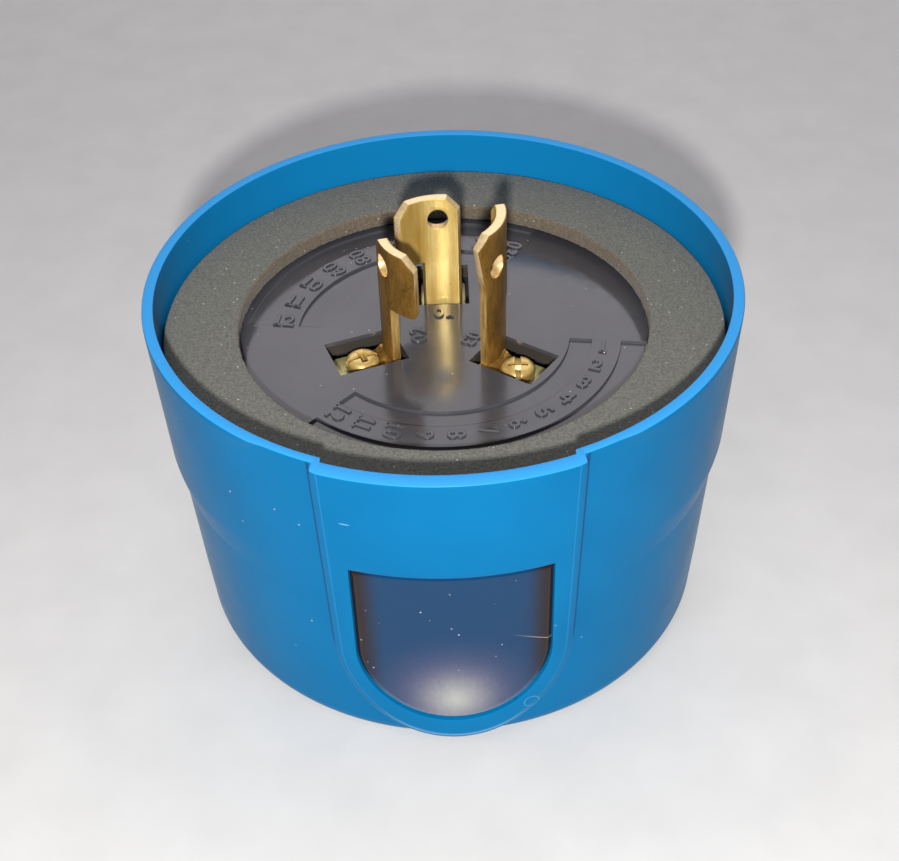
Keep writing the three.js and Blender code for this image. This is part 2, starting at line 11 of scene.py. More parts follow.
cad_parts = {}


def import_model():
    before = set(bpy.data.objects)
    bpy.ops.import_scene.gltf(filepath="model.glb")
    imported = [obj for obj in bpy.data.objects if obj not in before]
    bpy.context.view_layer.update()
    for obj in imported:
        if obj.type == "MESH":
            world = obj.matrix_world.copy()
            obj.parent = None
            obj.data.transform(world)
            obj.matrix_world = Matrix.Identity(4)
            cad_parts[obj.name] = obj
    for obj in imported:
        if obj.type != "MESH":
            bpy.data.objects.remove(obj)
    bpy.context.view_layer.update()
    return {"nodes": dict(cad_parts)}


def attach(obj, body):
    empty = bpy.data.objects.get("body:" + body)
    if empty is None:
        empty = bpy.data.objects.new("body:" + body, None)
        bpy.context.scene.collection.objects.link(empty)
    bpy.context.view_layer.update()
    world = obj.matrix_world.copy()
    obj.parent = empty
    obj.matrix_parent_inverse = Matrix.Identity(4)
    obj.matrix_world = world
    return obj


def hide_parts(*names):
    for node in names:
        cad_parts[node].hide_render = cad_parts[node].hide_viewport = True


MM = 0.001
BODY = "control"

# Housing, in millimetres, as in the CAD: z is up from the flat end of the dome.
RIM_Z = 54.0
FRONT = -90.0
PANEL_RIM_R = 43.0
PANEL_FOOT_R = 39.54
PANEL_HALF_DEG = 23.2
PANEL_ARCH_Z = 21.6
PANEL_ARCH_H = 18.4
PANEL_STEP_W = 0.30
WINDOW_HALF = 13.2
WINDOW_TOP_Z = 37.4
WINDOW_ARCH_Z = 21.0
WINDOW_ARCH_H = 13.6
POCKET_DEPTH = 1.7
POCKET_MARGIN = 1.5
RELIEF_R = 40.8
RELIEF_HALF_DEG = 22.5
LEDGE_Z = 42.2
FLOOR_Z = 2.2
FOOT_R = 33.9
DOME_ROUND = 4.0
# The cup's wall, its fuller band and its inside, each as heights and radii.
WALL = ((DOME_ROUND, 10.7, 28.4, RIM_Z), (37.9, 38.4, 39.5, 41.3))
BAND_Z = 28.2
BAND = ((BAND_Z, 29.0, 31.6, 32.8, RIM_Z), (39.46, 39.70, 40.30, 40.52, 41.6))
INSIDE = ((4.8, 28.4, LEDGE_Z - 0.05, LEDGE_Z + 0.05, RIM_Z), (36.2, 37.4, 37.6, 39.7, 40.0))
# The band starts this many degrees right and left of the front, and is full at these heights and degrees.
BAND_START = (30.0, 32.5)
BAND_FULL = ((30.0, RIM_Z - 2.0, RIM_Z), (66.0, 46.0, 35.0))
# Degrees either side of the front where the panel is shaped and where grid points move onto outlines, the
# grid's cell size there, and a distance that counts as outside both panel and window.
PANEL_REACH = 60.0
SNAP_REACH = 30.0
SNAP_CELL = 0.37
FAR = -50.0
# Rings of the grid across the foot (radius) and in over the floor (radius, height).
FOOT_RINGS = (8.0, 18.0, 26.0, 31.0, 33.2)
FLOOR_RINGS = ((36.1, 4.2), (35.6, 3.3), (34.8, 2.6), (33.6, FLOOR_Z), (26.0, FLOOR_Z), (12.0, FLOOR_Z))

# Base plate, gasket and blades.
PLATE_TOP_Z = 44.8
PLATE_T = 2.3
PLATE_R = 39.3
POCKET_IN = (18.0, 21.0)
POCKET_OUT = (25.25, 28.5)
POCKET_H = 0.4
POCKET_DRAFT = 0.14
MONTH_ARC = (-133.5, -8.0)
YEAR_ARC = (61.0, 173.3)
GASKET_Z = 47.8
GASKET_R = 39.5
GASKET_BORE_R = 29.0
SLOT_ANGLES = {"load": 90.0, "line": 200.0, "neutral": 325.0}
BLADE_MID_R = 8.225
BLADE_T = 1.45
# Each blade's two sides below and at its top, and its hook's end, in degrees from its slot's angle,
# then the height of its top and of its hook's lower edge.
BLADES = {
    "load": {"side": (-18.5, -18.5), "end": 18.5, "hook": 47.4, "top": 62.2, "hook_z": 52.0},
    "line": {"side": (-18.5, -18.5), "end": 14.5, "hook": 44.5, "top": 62.2, "hook_z": 52.8},
    "neutral": {"side": (-13.5, -21.9), "end": 23.5, "hook": 58.5, "top": 64.8, "hook_z": 52.0},
}
FOOT_TOP_Z = 42.2
FOOT_T = 1.4
FOOT_OUT = 16.5
FOOT_W = 6.7
BLADE_BEVEL = 1.8
BLADE_HOLE_D = 3.2
BLADE_HOLE_Z = 58.9
BLADE_HOLE_IN = 0.45
BLADE_SOFT = 0.16
SLOT_W = 7.65
SLOT_R = (6.7, 16.8)
SCREW_R = 12.4
SCREW_HEAD_D = 4.9
SCREW_HEAD_H = 1.8
SCREW_SLOT_W = 0.80
SCREW_WING_W = 0.95
SHANK_R = 1.45
SCREW_TURNS = {"load": 20.0, "line": 200.0, "neutral": 88.0}

# Window pane.
PANE_GAP = 0.14
PANE_ROLL = 0.45
PANE_DEPTH = 0.22
PANE_T = 1.1
# Centre (x, z) and half widths in millimetres of the painted highlight low on the pane.
PAINTED_HIGHLIGHT_XZ = (0.0, 12.0)
PAINTED_HIGHLIGHT_HALF = (12.5, 14.0)
SCRATCH_SLOPE = 0.48
SCRATCH_Z = 28.5

# Marks on the panel: the gate the plastic came in by and a short scuff, as (x, z).
GATE_XZ = (10.5, 9.5)
GATE_R = 1.05
SCUFF_XZ = (-13.0, 46.0)
SCUFF_HALF = (0.8, 0.12)

# Numerals on the plate.
NUMERAL_CAP = 0.70
NUMERAL_RISE = 0.30
NUMERAL_ROUND = 0.09
NUMERAL_H = 2.4
FIGURE_GAP = 0.22
ONE_STEM = 0.42
BAR_W = 1.15
BAR_T = 0.34
TERMINAL_H = 2.2
TERMINAL_RISE = 0.34
MONTH_FIRST = -12.4
MONTH_PITCH = 10.65
MONTH_R = 22.8
DIAL_NUMBERS = ("12", "11", "10", "09", "08", "07", "06", "05", "04", "03")
DIAL_FIRST = 170.5
DIAL_PITCH = 12.0
DIAL_R = 23.3
TERMINAL_NUMBERS = (("01", 4.5, 90.0, 90.0), ("02", 3.75, 189.0, 190.0), ("03", 4.25, -26.6, -30.0))

# Camera, lamps and floor, in the row frame. Each lamp: place, aim, size in metres, watts, colour.
CAMERA_MM = (0.296, -178.153, 177.194)
CAMERA_ELEVATION = 40.268
CAMERA_ROLL = -1.8587
CAMERA_LENS = 62.07
LAMPS = {
    "key": ((-8.0, -250.0, 188.0), (0.0, 0.0, 45.0), 0.014, 1.22, (1.0, 0.97, 0.93)),
    "back": ((60.0, 560.0, 480.0), (0.0, 0.0, 40.0), 0.95, 2.9, (1.0, 0.96, 1.0)),
    "top": ((-60.0, -330.0, 560.0), (0.0, 0.0, 40.0), 0.3, 0.6, (1.0, 1.0, 1.0)),
}
STUDIO_COLOUR = (0.93, 0.95, 1.0, 1.0)
STUDIO_STRENGTH = 0.07
FLOOR_HALF_M = 3.0

# Finishes inside, by how CAD nodes' names start: name, two tones, roughness, metal, grain, stretch.
INNER_FINISHES = {
    ("carrier_screw", "board_screw", "relay_yoke", "relay_core", "relay_armature"):
        ("zinc_steel", (0.45, 0.46, 0.48), (0.60, 0.61, 0.62), 0.35, 1.0),
    ("terminal_carrier", "sensor_holder", "relay_base"):
        ("inner_plastic", (0.028, 0.028, 0.032), (0.045, 0.045, 0.050), 0.5),
    ("relay_hinge_spring", "relay_contact_spring", "relay_fixed_bracket"):
        ("spring_bronze", (0.55, 0.36, 0.18), (0.70, 0.48, 0.26), 0.3, 1.0),
    ("relay_fixed_contact", "relay_moving_contact"):
        ("contact_silver", (0.75, 0.74, 0.70), (0.88, 0.87, 0.84), 0.25, 1.0),
    ("wire",): ("wire_pvc", (0.02, 0.02, 0.02), (0.04, 0.04, 0.04), 0.45),
    ("circuit_board",): ("board_green", (0.02, 0.10, 0.05), (0.03, 0.14, 0.07), 0.4, 0.0, 900.0),
    ("light_sensor",): ("sensor_cap", (0.60, 0.55, 0.42), (0.70, 0.64, 0.50), 0.25),
    ("film_capacitor",): ("film_box", (0.30, 0.16, 0.05), (0.38, 0.20, 0.07), 0.35),
    ("filter_capacitor",): ("sleeve", (0.02, 0.03, 0.06), (0.03, 0.04, 0.09), 0.3),
    ("varistor",): ("varistor_coat", (0.03, 0.12, 0.30), (0.05, 0.16, 0.36), 0.4),
    ("diode",): ("diode_body", (0.02, 0.02, 0.02), (0.05, 0.05, 0.05), 0.35),
    ("resistor",): ("resistor_body", (0.45, 0.35, 0.20), (0.55, 0.43, 0.26), 0.5),
    ("relay_case",): ("relay_cover", (0.35, 0.36, 0.38), (0.45, 0.46, 0.48), 0.2),
    ("relay_bobbin",): ("bobbin", (0.55, 0.52, 0.45), (0.65, 0.62, 0.55), 0.45),
    ("relay_coil",): ("coil_wire", (0.45, 0.18, 0.06), (0.60, 0.26, 0.10), 0.35, 0.8, 3000.0,
                      (0.1, 0.1, 1.0)),
}


# ---------------- small helpers

def smoothstep(low, high, value):
    t = np.clip((value - low) / (high - low), 0.0, 1.0)
    return t * t * (3.0 - 2.0 * t)


def unit(angle):
    return math.cos(math.radians(angle)), math.sin(math.radians(angle))


def placed(name, data):
    """A new object, linked to the scene."""
    obj = bpy.data.objects.new(name, data)
    bpy.context.scene.collection.objects.link(obj)
    return obj


def finish_mesh(mesh, sharp_deg):
    mesh.validate()
    mesh.update()
    mesh.polygons.foreach_set("use_smooth", [True] * len(mesh.polygons))
    mesh.set_sharp_from_angle(angle=math.radians(sharp_deg))


def piece(name, mesh, material, replaces=(), sharp_deg=32.0):
    """A finished mesh as a piece of the object, on its body and in its material slot."""
    finish_mesh(mesh, sharp_deg)
    obj = placed(name, mesh)
    if material is not None:
        mesh.materials.clear()
        mesh.materials.append(material)
    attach(obj, BODY)
    if replaces:
        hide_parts(*replaces)
    return obj


def turning(degrees, axis="Z"):
    return Matrix.Rotation(math.radians(degrees), 4, axis)


def mesh_from(name, verts_mm, faces):
    mesh = bpy.data.meshes.new(name)
    mesh.from_pydata([(x * MM, y * MM, z * MM) for x, y, z in verts_mm], [], faces)
    return mesh


@contextmanager
def editing(mesh):
    """The mesh as a bmesh, written back at the end."""
    bm = bmesh.new()
    bm.from_mesh(mesh)
    yield bm
    bm.to_mesh(mesh)
    bm.free()


def joined(name, meshes):
    """One mesh made of several."""
    out = bpy.data.meshes.new(name)
    with editing(out) as bm:
        for mesh in meshes:
            bm.from_mesh(mesh)
            bpy.data.meshes.remove(mesh)
    return out


def evaluated(obj):
    """The mesh that an object comes to with its modifiers or its text."""
    bpy.context.view_layer.update()
    return bpy.data.meshes.new_from_object(obj.evaluated_get(bpy.context.evaluated_depsgraph_get()))


def boolean(mesh, cutters):
    """The mesh after each cutter mesh is taken out of it."""
    base = placed("boolean_base", mesh)
    tools = []
    for cutter in cutters:
        tool = placed("boolean_tool", cutter)
        modifier = base.modifiers.new("cut", "BOOLEAN")
        modifier.operation = "DIFFERENCE"
        modifier.solver = "EXACT"
        modifier.object = tool
        tools.append(tool)
    result = evaluated(base)
    for obj in [base, *tools]:
        bpy.data.objects.remove(obj)
    return result


def box_mesh(size, centre, turn=0.0):
    """A box in millimetres, turned about +Z through the origin by turn degrees."""
    mesh = bpy.data.meshes.new("box")
    place = turning(turn) @ Matrix.Translation(Vector(centre) * MM)
    with editing(mesh) as bm:
        bmesh.ops.create_cube(bm, size=1.0)
        bmesh.ops.transform(bm, matrix=place @ Matrix.Diagonal((*(Vector(size) * MM), 1.0)), verts=bm.verts)
    return mesh


def turned_mesh(profile, segments=64):
    """A solid of revolution about +Z. The profile runs from axis to axis, anticlockwise in (r, z)."""
    verts = [(0.0, 0.0, profile[0][1])]
    for r, z in profile[1:-1]:
        for k in range(segments):
            a = 2.0 * math.pi * k / segments
            verts.append((r * math.cos(a), r * math.sin(a), z))
    verts.append((0.0, 0.0, profile[-1][1]))
    faces = []
    rings = len(profile) - 2
    for k in range(segments):
        after = (k + 1) % segments
        faces.append((0, 1 + after, 1 + k))
        for ring in range(rings - 1):
            a = 1 + ring * segments
            b = a + segments
            faces.append((a + k, a + after, b + after, b + k))
        top = 1 + (rings - 1) * segments
        faces.append((top + k, top + after, len(verts) - 1))
    return mesh_from("turned", verts, faces)


# ---------------- materials

class Nodes:
    """A node tree with short calls for the few node kinds the finishes use."""

    def __init__(self, name):
        self.material = bpy.data.materials.new(name)
        self.material.use_nodes = True
        self.tree = self.material.node_tree
        self.tree.nodes.clear()
        self.shader = self.add("ShaderNodeBsdfPrincipled")
        output = self.add("ShaderNodeOutputMaterial")
        self.link(self.shader.outputs[0], output.inputs[0])
        self.point = self.add("ShaderNodeTexCoord").outputs["Object"]

    def add(self, kind, **settings):
        node = self.tree.nodes.new(kind)
        for key, value in settings.items():
            setattr(node, key, value)
        return node

    def link(self, source, target):
        self.tree.links.new(source, target)

    def fill(self, node, **values):
        for key, value in values.items():
            node.inputs[key.replace("_", " ")].default_value = value

    def set(self, **values):
        self.fill(self.shader, **values)

    def noise(self, per_metre, detail=3.0, rough=0.55, stretch=(1.0, 1.0, 1.0)):
        mapping = self.add("ShaderNodeMapping")
        self.fill(mapping, Scale=stretch)
        self.link(self.point, mapping.inputs["Vector"])
        node = self.add("ShaderNodeTexNoise")
        self.fill(node, Scale=per_metre, Detail=detail, Roughness=rough)
        self.link(mapping.outputs[0], node.inputs["Vector"])
        return node.outputs["Fac"]

    def cells(self, per_metre):
        node = self.add("ShaderNodeTexVoronoi", feature="F1")
        self.fill(node, Scale=per_metre, Randomness=1.0)
        self.link(self.point, node.inputs["Vector"])
        return node.outputs["Distance"]

    def span(self, source, low, high, out_low=0.0, out_high=1.0, smooth=False):
        node = self.add("ShaderNodeMapRange", interpolation_type="SMOOTHSTEP" if smooth else "LINEAR")
        self.fill(node, From_Min=low, From_Max=high, To_Min=out_low, To_Max=out_high)
        self.link(source, node.inputs["Value"])
        return node.outputs["Result"]

    def mix(self, factor, a, b):
        node = self.add("ShaderNodeMix", data_type="RGBA")
        self.link(factor, node.inputs["Factor"])
        for name, value in (("A", a), ("B", b)):
            socket = next(s for s in node.inputs if s.name == name and s.type == "RGBA")
            if isinstance(value, tuple):
                socket.default_value = (*value, 1.0)
            else:
                self.link(value, socket)
        return next(s for s in node.outputs if s.type == "RGBA")

    def math(self, operation, a, b=None):
        node = self.add("ShaderNodeMath", operation=operation)
        for socket, value in zip(node.inputs, (a, b)):
            if value is None:
                continue
            if isinstance(value, (int, float)):
                socket.default_value = value
            else:
                self.link(value, socket)
        return node.outputs[0]

    def times(self, a, b):
        return self.math("MULTIPLY", a, b)

    def gap(self, a, b):
        return self.math("ABSOLUTE", self.math("SUBTRACT", a, b))

    def distance(self, a, b):
        """Length of the two together, as the sides of a right angle."""
        return self.math("SQRT", self.math("ADD", self.times(a, a), self.times(b, b)))

    def oval(self, x, z, centre, half):
        """Distance from a centre, as a share of an oval's half widths, both in millimetres."""
        parts = []
        for axis, middle, reach in zip((x, z), centre, half):
            parts.append(self.math("DIVIDE", self.math("SUBTRACT", axis, middle * MM), reach * MM))
        return self.distance(*parts)

    def panel_share(self, x, z):
        """How far a point of the front lies beyond the panel's outline, as a share of its half width."""
        wide = math.sin(math.radians(PANEL_HALF_DEG))
        slope = wide * (PANEL_RIM_R - PANEL_FOOT_R) / RIM_Z
        high = self.math("MAXIMUM", z, PANEL_ARCH_Z * MM)
        half = self.math("ADD", self.times(high, slope), wide * PANEL_FOOT_R * MM)
        low = self.math("MINIMUM", self.math("SUBTRACT", z, PANEL_ARCH_Z * MM), 0.0)
        low = self.math("DIVIDE", low, PANEL_ARCH_H * MM)
        return self.math("SUBTRACT", self.distance(self.math("DIVIDE", x, half), low), 1.0)

    def axis(self, name):
        split = self.add("ShaderNodeSeparateXYZ")
        self.link(self.point, split.inputs[0])
        return split.outputs[name]

    def bump(self, height, distance_mm, strength=1.0, after=None):
        node = self.add("ShaderNodeBump")
        self.fill(node, Strength=strength, Distance=distance_mm * MM)
        self.link(height, node.inputs["Height"])
        if after is not None:
            self.link(after, node.inputs["Normal"])
        return node.outputs[0]

    def wire(self, **sources):
        for key, source in sources.items():
            self.link(source, self.shader.inputs[key.replace("_", " ")])


def panel_lines(m, base, x, z):
    """The base colour with painted shade as a dark line in the panel's step, a painted highlight as a pale
    line inside it, and a pale lower lip that is partly painted highlight and partly scuffing.
    """
    beyond = m.panel_share(x, z)
    # Painted shade: a dark line along the panel's step, whose side lies in shade.
    step_shade = m.times(m.span(m.gap(beyond, 0.009), 0.015, 0.007), m.span(z, 0.05385, 0.05375, 0.0, 0.85))
    # Painted highlight: a faint pale line about 1 mm inside the panel's edge, where a facet catches the
    # light.
    crease_highlight = m.span(m.gap(beyond, -0.060), 0.008, 0.003, 0.0, 0.30)
    # Partly painted highlight, partly scuffing: a pale line along the bezel's lower lip.
    lip = m.times(m.span(m.gap(beyond, -0.040), 0.014, 0.006), m.span(z, 0.009, 0.005, 0.0, 0.55))
    front = m.span(m.axis("Y"), -0.030, -0.032)
    base = m.mix(m.times(step_shade, front), base, (0.008, 0.045, 0.140))
    base = m.mix(m.times(crease_highlight, front), base, (0.03, 0.26, 0.55))
    return m.mix(m.times(lip, front), base, (0.22, 0.42, 0.64))


def housing_specks(m, x, y):
    """Stray pale specks, more of them on the front left."""
    left = m.times(m.span(x, -0.012, -0.030), m.span(y, 0.012, -0.010))
    speck = m.times(m.span(m.cells(480.0), 0.085, 0.060), m.span(m.noise(700.0, 2.0), 0.40, 0.60, 0.15, 0.95))
    rare = m.span(m.math("ADD", m.noise(190.0, 2.0), m.times(left, 0.12)), 0.61, 0.66)
    return m.times(speck, rare)


def housing_finish():
    """Blue moulded plastic with specks, a scuff and a gate mark; its bore is painted a paler tone for light,
    and its rim top carries a painted highlight.
    """
    m = Nodes("housing_blue")
    x, y, z = m.axis("X"), m.axis("Y"), m.axis("Z")
    front = m.span(y, -0.030, -0.032)
    drift = m.span(m.noise(60.0, 2.0), 0.3, 0.7)
    base = m.mix(drift, (0.0015, 0.124, 0.300), (0.0020, 0.140, 0.335))
    # Painted light: the upper bore is painted a paler blue, standing for the light on the inner wall.
    bore = m.times(m.span(m.distance(x, y), 0.04030, 0.04022), m.span(z, 0.043, 0.044))
    base = m.mix(bore, base, (0.004, 0.165, 0.395))
    # Painted highlight: the flat top of the rim is painted a paler, brighter blue.
    base = m.mix(m.span(z, 0.05386, 0.05396), base, (0.035, 0.305, 0.715))
    base = panel_lines(m, base, x, z)
    colour = m.mix(housing_specks(m, x, y), base, (0.42, 0.52, 0.60))
    scuff = m.times(m.span(m.oval(x, z, SCUFF_XZ, SCUFF_HALF), 1.0, 0.7), front)
    colour = m.mix(scuff, colour, (0.12, 0.34, 0.55))
    ring = m.gap(m.oval(x, z, GATE_XZ, (GATE_R, GATE_R)), 1.0)
    gate = m.times(m.span(ring, 0.16, 0.02, smooth=True), front)
    colour = m.mix(m.times(gate, 0.5), colour, (0.10, 0.36, 0.62))
    m.wire(Base_Color=colour, Roughness=m.span(m.noise(160.0, 2.0), 0.35, 0.75, 0.28, 0.34))
    wave = m.bump(m.noise(110.0, 1.0), 0.05, 0.3)
    m.wire(Normal=m.bump(m.noise(5200.0, 2.0), 0.0015, 0.3, m.bump(gate, 0.09, 1.0, wave)))
    m.set(IOR=1.46, Specular_IOR_Level=0.05)
    return m.material


def lens_finish():
    """Smoked glossy plastic, blue-black, with painted reflections, brown at its sides and pale along its
    foot, and a painted highlight low in the middle.
    """
    m = Nodes("lens_smoked")
    x, z = m.axis("X"), m.axis("Z")
    # Painted reflection: the sides of the pane are painted brown, standing for warm surroundings reflected
    # there.
    side = m.span(m.math("ABSOLUTE", x), 0.0090, 0.0126, smooth=True)
    tint = m.mix(side, (0.003, 0.034, 0.096), (0.016, 0.007, 0.005))
    # Painted highlight: a soft pale patch low in the middle of the pane, with a faint violet halo round it.
    streak = m.span(m.noise(2600.0, 2.0, stretch=(1.0, 1.0, 0.3)), 0.2, 0.8, -0.03, 0.03)
    spread = m.math("ADD", m.oval(x, z, PAINTED_HIGHLIGHT_XZ, PAINTED_HIGHLIGHT_HALF), streak)
    painted_highlight_halo = m.span(spread, 1.05, 0.15, smooth=True)
    painted_highlight_core = m.span(spread, 0.80, -0.10, smooth=True)
    tint = m.mix(m.times(painted_highlight_halo, 0.34), tint, (0.20, 0.14, 0.22))
    tint = m.mix(m.times(m.times(painted_highlight_core, painted_highlight_core), 0.95), tint, (0.36, 0.37, 0.35))
    # Painted reflection: a pale band along the pane's lower edge.
    low = m.math("MINIMUM", z, WINDOW_ARCH_Z * MM)
    reach = m.oval(x, low, (0.0, WINDOW_ARCH_Z), (WINDOW_HALF, WINDOW_ARCH_H))
    edge = m.times(m.span(reach, 0.90, 0.975, smooth=True), m.span(z, 0.0165, 0.0115, 0.0, 0.55))
    tint = m.mix(edge, tint, (0.20, 0.33, 0.47))
    dust = m.times(m.span(m.cells(620.0), 0.090, 0.060), m.span(m.noise(300.0, 1.0), 0.50, 0.56))
    colour = m.mix(dust, tint, (0.42, 0.44, 0.47))
    line = m.gap(m.math("ADD", z, m.times(x, SCRATCH_SLOPE)), SCRATCH_Z * MM)
    line = m.times(m.span(line, 0.00008, 0.00003), m.span(x, 0.0078, 0.0110))
    colour = m.mix(line, colour, (0.32, 0.30, 0.26))
    haze = m.noise(900.0, 5.0, stretch=(1.0, 1.0, 0.25))
    m.wire(Base_Color=colour, Roughness=m.span(haze, 0.3, 0.7, 0.14, 0.24))
    m.wire(Normal=m.bump(m.noise(2600.0, 2.0, stretch=(1.0, 1.0, 0.2)), 0.004, 0.6))
    m.set(IOR=1.45, Specular_IOR_Level=0.28)
    return m.material


def plate_finish():
    """Glossy near-black plastic with a violet cast, faint scratches and dust; dark and matt in the slots."""
    m = Nodes("plate_black")
    drift = m.span(m.noise(90.0, 2.0), 0.3, 0.7)
    base = m.mix(drift, (0.046, 0.047, 0.056), (0.060, 0.061, 0.071))
    dust = m.times(m.span(m.cells(560.0), 0.075, 0.05), m.span(m.noise(210.0, 1.0), 0.54, 0.60))
    colour = m.mix(dust, base, (0.36, 0.36, 0.37))
    hair = m.gap(m.noise(46.0, 1.0), 0.5)
    hair = m.times(m.span(hair, 0.0016, 0.0006), m.span(m.noise(75.0, 1.0), 0.50, 0.58))
    colour = m.mix(m.times(hair, 0.05), colour, (0.30, 0.30, 0.31))
    # Darker and matt from just below the pocket floors downward, which takes in the slot walls.
    pocket_z = PLATE_TOP_Z - POCKET_H
    cut = m.span(m.axis("Z"), (pocket_z - 0.15) * MM, (pocket_z - 0.30) * MM)
    colour = m.mix(cut, colour, m.mix(drift, (0.013, 0.010, 0.007), (0.021, 0.016, 0.011)))
    scratch = m.span(m.noise(420.0, 6.0, 0.7), 0.40, 0.62, 0.13, 0.20)
    gloss = m.math("MAXIMUM", scratch, m.times(cut, 0.75))
    m.wire(Base_Color=colour, Roughness=gloss)
    m.wire(Normal=m.bump(m.noise(1500.0, 2.0), 0.0015, 0.5, m.bump(m.noise(120.0, 2.0), 0.04, 0.30)))
    m.set(IOR=1.60, Specular_IOR_Level=0.55)
    return m.material


def foam_finish():
    """Grey closed-cell foam with open pores and stray bright flecks; its cut bore is browner."""
    m = Nodes("foam_grey")
    inner = m.span(m.distance(m.axis("X"), m.axis("Y")), 0.02925, 0.02912)
    grain = m.span(m.noise(3000.0, 4.0, 0.7), 0.35, 0.65)
    top = m.mix(grain, (0.074, 0.077, 0.067), (0.170, 0.170, 0.149))
    bore = m.mix(grain, (0.085, 0.066, 0.048), (0.170, 0.138, 0.100))
    colour = m.mix(inner, top, bore)
    fleck = m.times(m.span(m.cells(1000.0), 0.13, 0.08), m.span(m.noise(500.0, 1.0), 0.52, 0.60))
    colour = m.mix(fleck, colour, (0.55, 0.55, 0.50))
    pores = m.cells(3600.0)
    m.wire(Base_Color=colour, Normal=m.bump(pores, 0.10, 0.9, m.bump(m.noise(700.0, 3.0), 0.12, 0.6)))
    m.set(Roughness=0.95, IOR=1.4, Sheen_Weight=0.15)
    return m.material


def brass_finish(name):
    """Stamped brass. The inner faces are bright with tarnish bands and carry a painted shadow high up on the
    left; the outer ones are painted brown, mostly as a painted reflection of dark surroundings; the cut edges
    carry a painted highlight at the top and are duller further down."""
    m = Nodes(name)
    x, y, z = m.axis("X"), m.axis("Y"), m.axis("Z")
    radius = m.distance(x, y)
    inner_r, outer_r = (BLADE_MID_R - 0.5 * BLADE_T) * MM, (BLADE_MID_R + 0.5 * BLADE_T) * MM
    outer = m.span(radius, outer_r - 0.00022, outer_r - 0.00008)
    cut = m.math("SUBTRACT", m.span(radius, inner_r + 0.00008, inner_r + 0.00024), outer)
    foot = m.span(z, (FOOT_TOP_Z + 0.5) * MM, (FOOT_TOP_Z + 0.1) * MM)
    fine = m.span(m.noise(2300.0, 5.0, 0.7), 0.36, 0.64)
    blotch = m.span(m.noise(330.0, 5.0, 0.65, stretch=(1.0, 1.0, 0.35)), 0.34, 0.66)
    stripe = m.span(m.noise(620.0, 3.0, stretch=(1.0, 1.0, 0.10)), 0.32, 0.62)
    bright = m.mix(stripe, (0.56, 0.345, 0.07), m.mix(blotch, (0.84, 0.58, 0.17), (1.0, 0.80, 0.33)))
    # Painted shadow: a darker patch high up on the inner faces towards -x, standing for a neighbouring
    # blade's cast shadow.
    painted_shadow = m.times(m.span(x, 0.0010, -0.0045, smooth=True), m.span(z, 0.051, 0.057, 0.0, 0.55))
    bright = m.mix(painted_shadow, bright, (0.40, 0.25, 0.05))
    # Painted reflection: the outer faces are painted darker brown, mostly standing for the dark surroundings
    # they reflect.
    brown = m.mix(blotch, (0.13, 0.060, 0.010), (0.42, 0.215, 0.042))
    brown = m.mix(m.times(fine, 0.4), brown, (0.50, 0.29, 0.07))
    streak = m.span(m.noise(1700.0, 3.0, stretch=(1.0, 1.0, 0.08)), 0.38, 0.62)
    dull = m.mix(streak, (0.30, 0.16, 0.035), (0.72, 0.48, 0.17))
    # Painted highlight: the cut edges are painted pale near the top and duller below.
    pale = m.mix(fine, (0.84, 0.60, 0.30), (1.0, 0.80, 0.50))
    edge = m.mix(m.span(z, 0.0565, 0.0590), dull, pale)
    colour = m.mix(cut, m.mix(outer, bright, brown), edge)
    colour = m.mix(foot, colour, m.mix(fine, (0.56, 0.50, 0.22), (0.66, 0.58, 0.28)))
    pits = m.times(m.span(m.cells(1500.0), 0.10, 0.05), m.span(m.noise(600.0, 1.0), 0.54, 0.62))
    colour = m.mix(pits, colour, (0.10, 0.05, 0.01))
    lines = m.noise(1500.0, 4.0, 0.6, stretch=(1.0, 1.0, 0.05))
    m.wire(Base_Color=colour, Roughness=m.span(fine, 0.0, 1.0, 0.32, 0.42))
    relief = m.bump(m.noise(520.0, 3.0), 0.05, 0.5, m.bump(lines, 0.015, 0.5))
    m.wire(Normal=m.bump(fine, 0.006, 0.6, relief))
    m.wire(Metallic=m.span(outer, 0.0, 1.0, 0.52, 0.60))
    m.set(IOR=1.5)
    return m.material


def screw_finish(name):
    """Clean pale brass with a faint satin and small handling marks, and painted shade down in the recess."""
    m = Nodes(name)
    blotch = m.span(m.noise(600.0, 4.0, 0.6), 0.34, 0.66)
    fine = m.noise(2600.0, 3.0)
    # Painted shade: darker down in the cross recess, below the head's crown.
    recess_shade = m.span(m.axis("Z"), (FOOT_TOP_Z + 1.65) * MM, (FOOT_TOP_Z + 1.15) * MM)
    gold = m.mix(blotch, (0.56, 0.38, 0.11), (0.78, 0.57, 0.21))
    m.wire(Base_Color=m.mix(m.times(recess_shade, 0.60), gold, (0.17, 0.095, 0.020)))
    m.wire(Roughness=m.span(blotch, 0.0, 1.0, 0.28, 0.38), Normal=m.bump(fine, 0.01, 0.5))
    m.set(Metallic=0.50, IOR=1.5)
    return m.material


def plain_finish(name, dark, light, rough, metallic=0.0, grain=1500.0, stretch=(1.0, 1.0, 1.0)):
    """Two close tones, uneven gloss and a fine grain, for the parts inside."""
    m = Nodes(name)
    tone = m.span(m.noise(grain * 0.3, 3.0), 0.3, 0.7)
    fine = m.noise(grain, 3.0, stretch=stretch)
    m.wire(Base_Color=m.mix(tone, dark, light))
    m.wire(Roughness=m.span(fine, 0.3, 0.7, max(0.05, rough - 0.08), min(1.0, rough + 0.08)))
    m.wire(Normal=m.bump(fine, 0.02, 0.6))
    m.set(Metallic=metallic)
    return m.material


# ---------------- housing

def panel_radius(z):
    return PANEL_FOOT_R + z * (PANEL_RIM_R - PANEL_FOOT_R) / RIM_Z


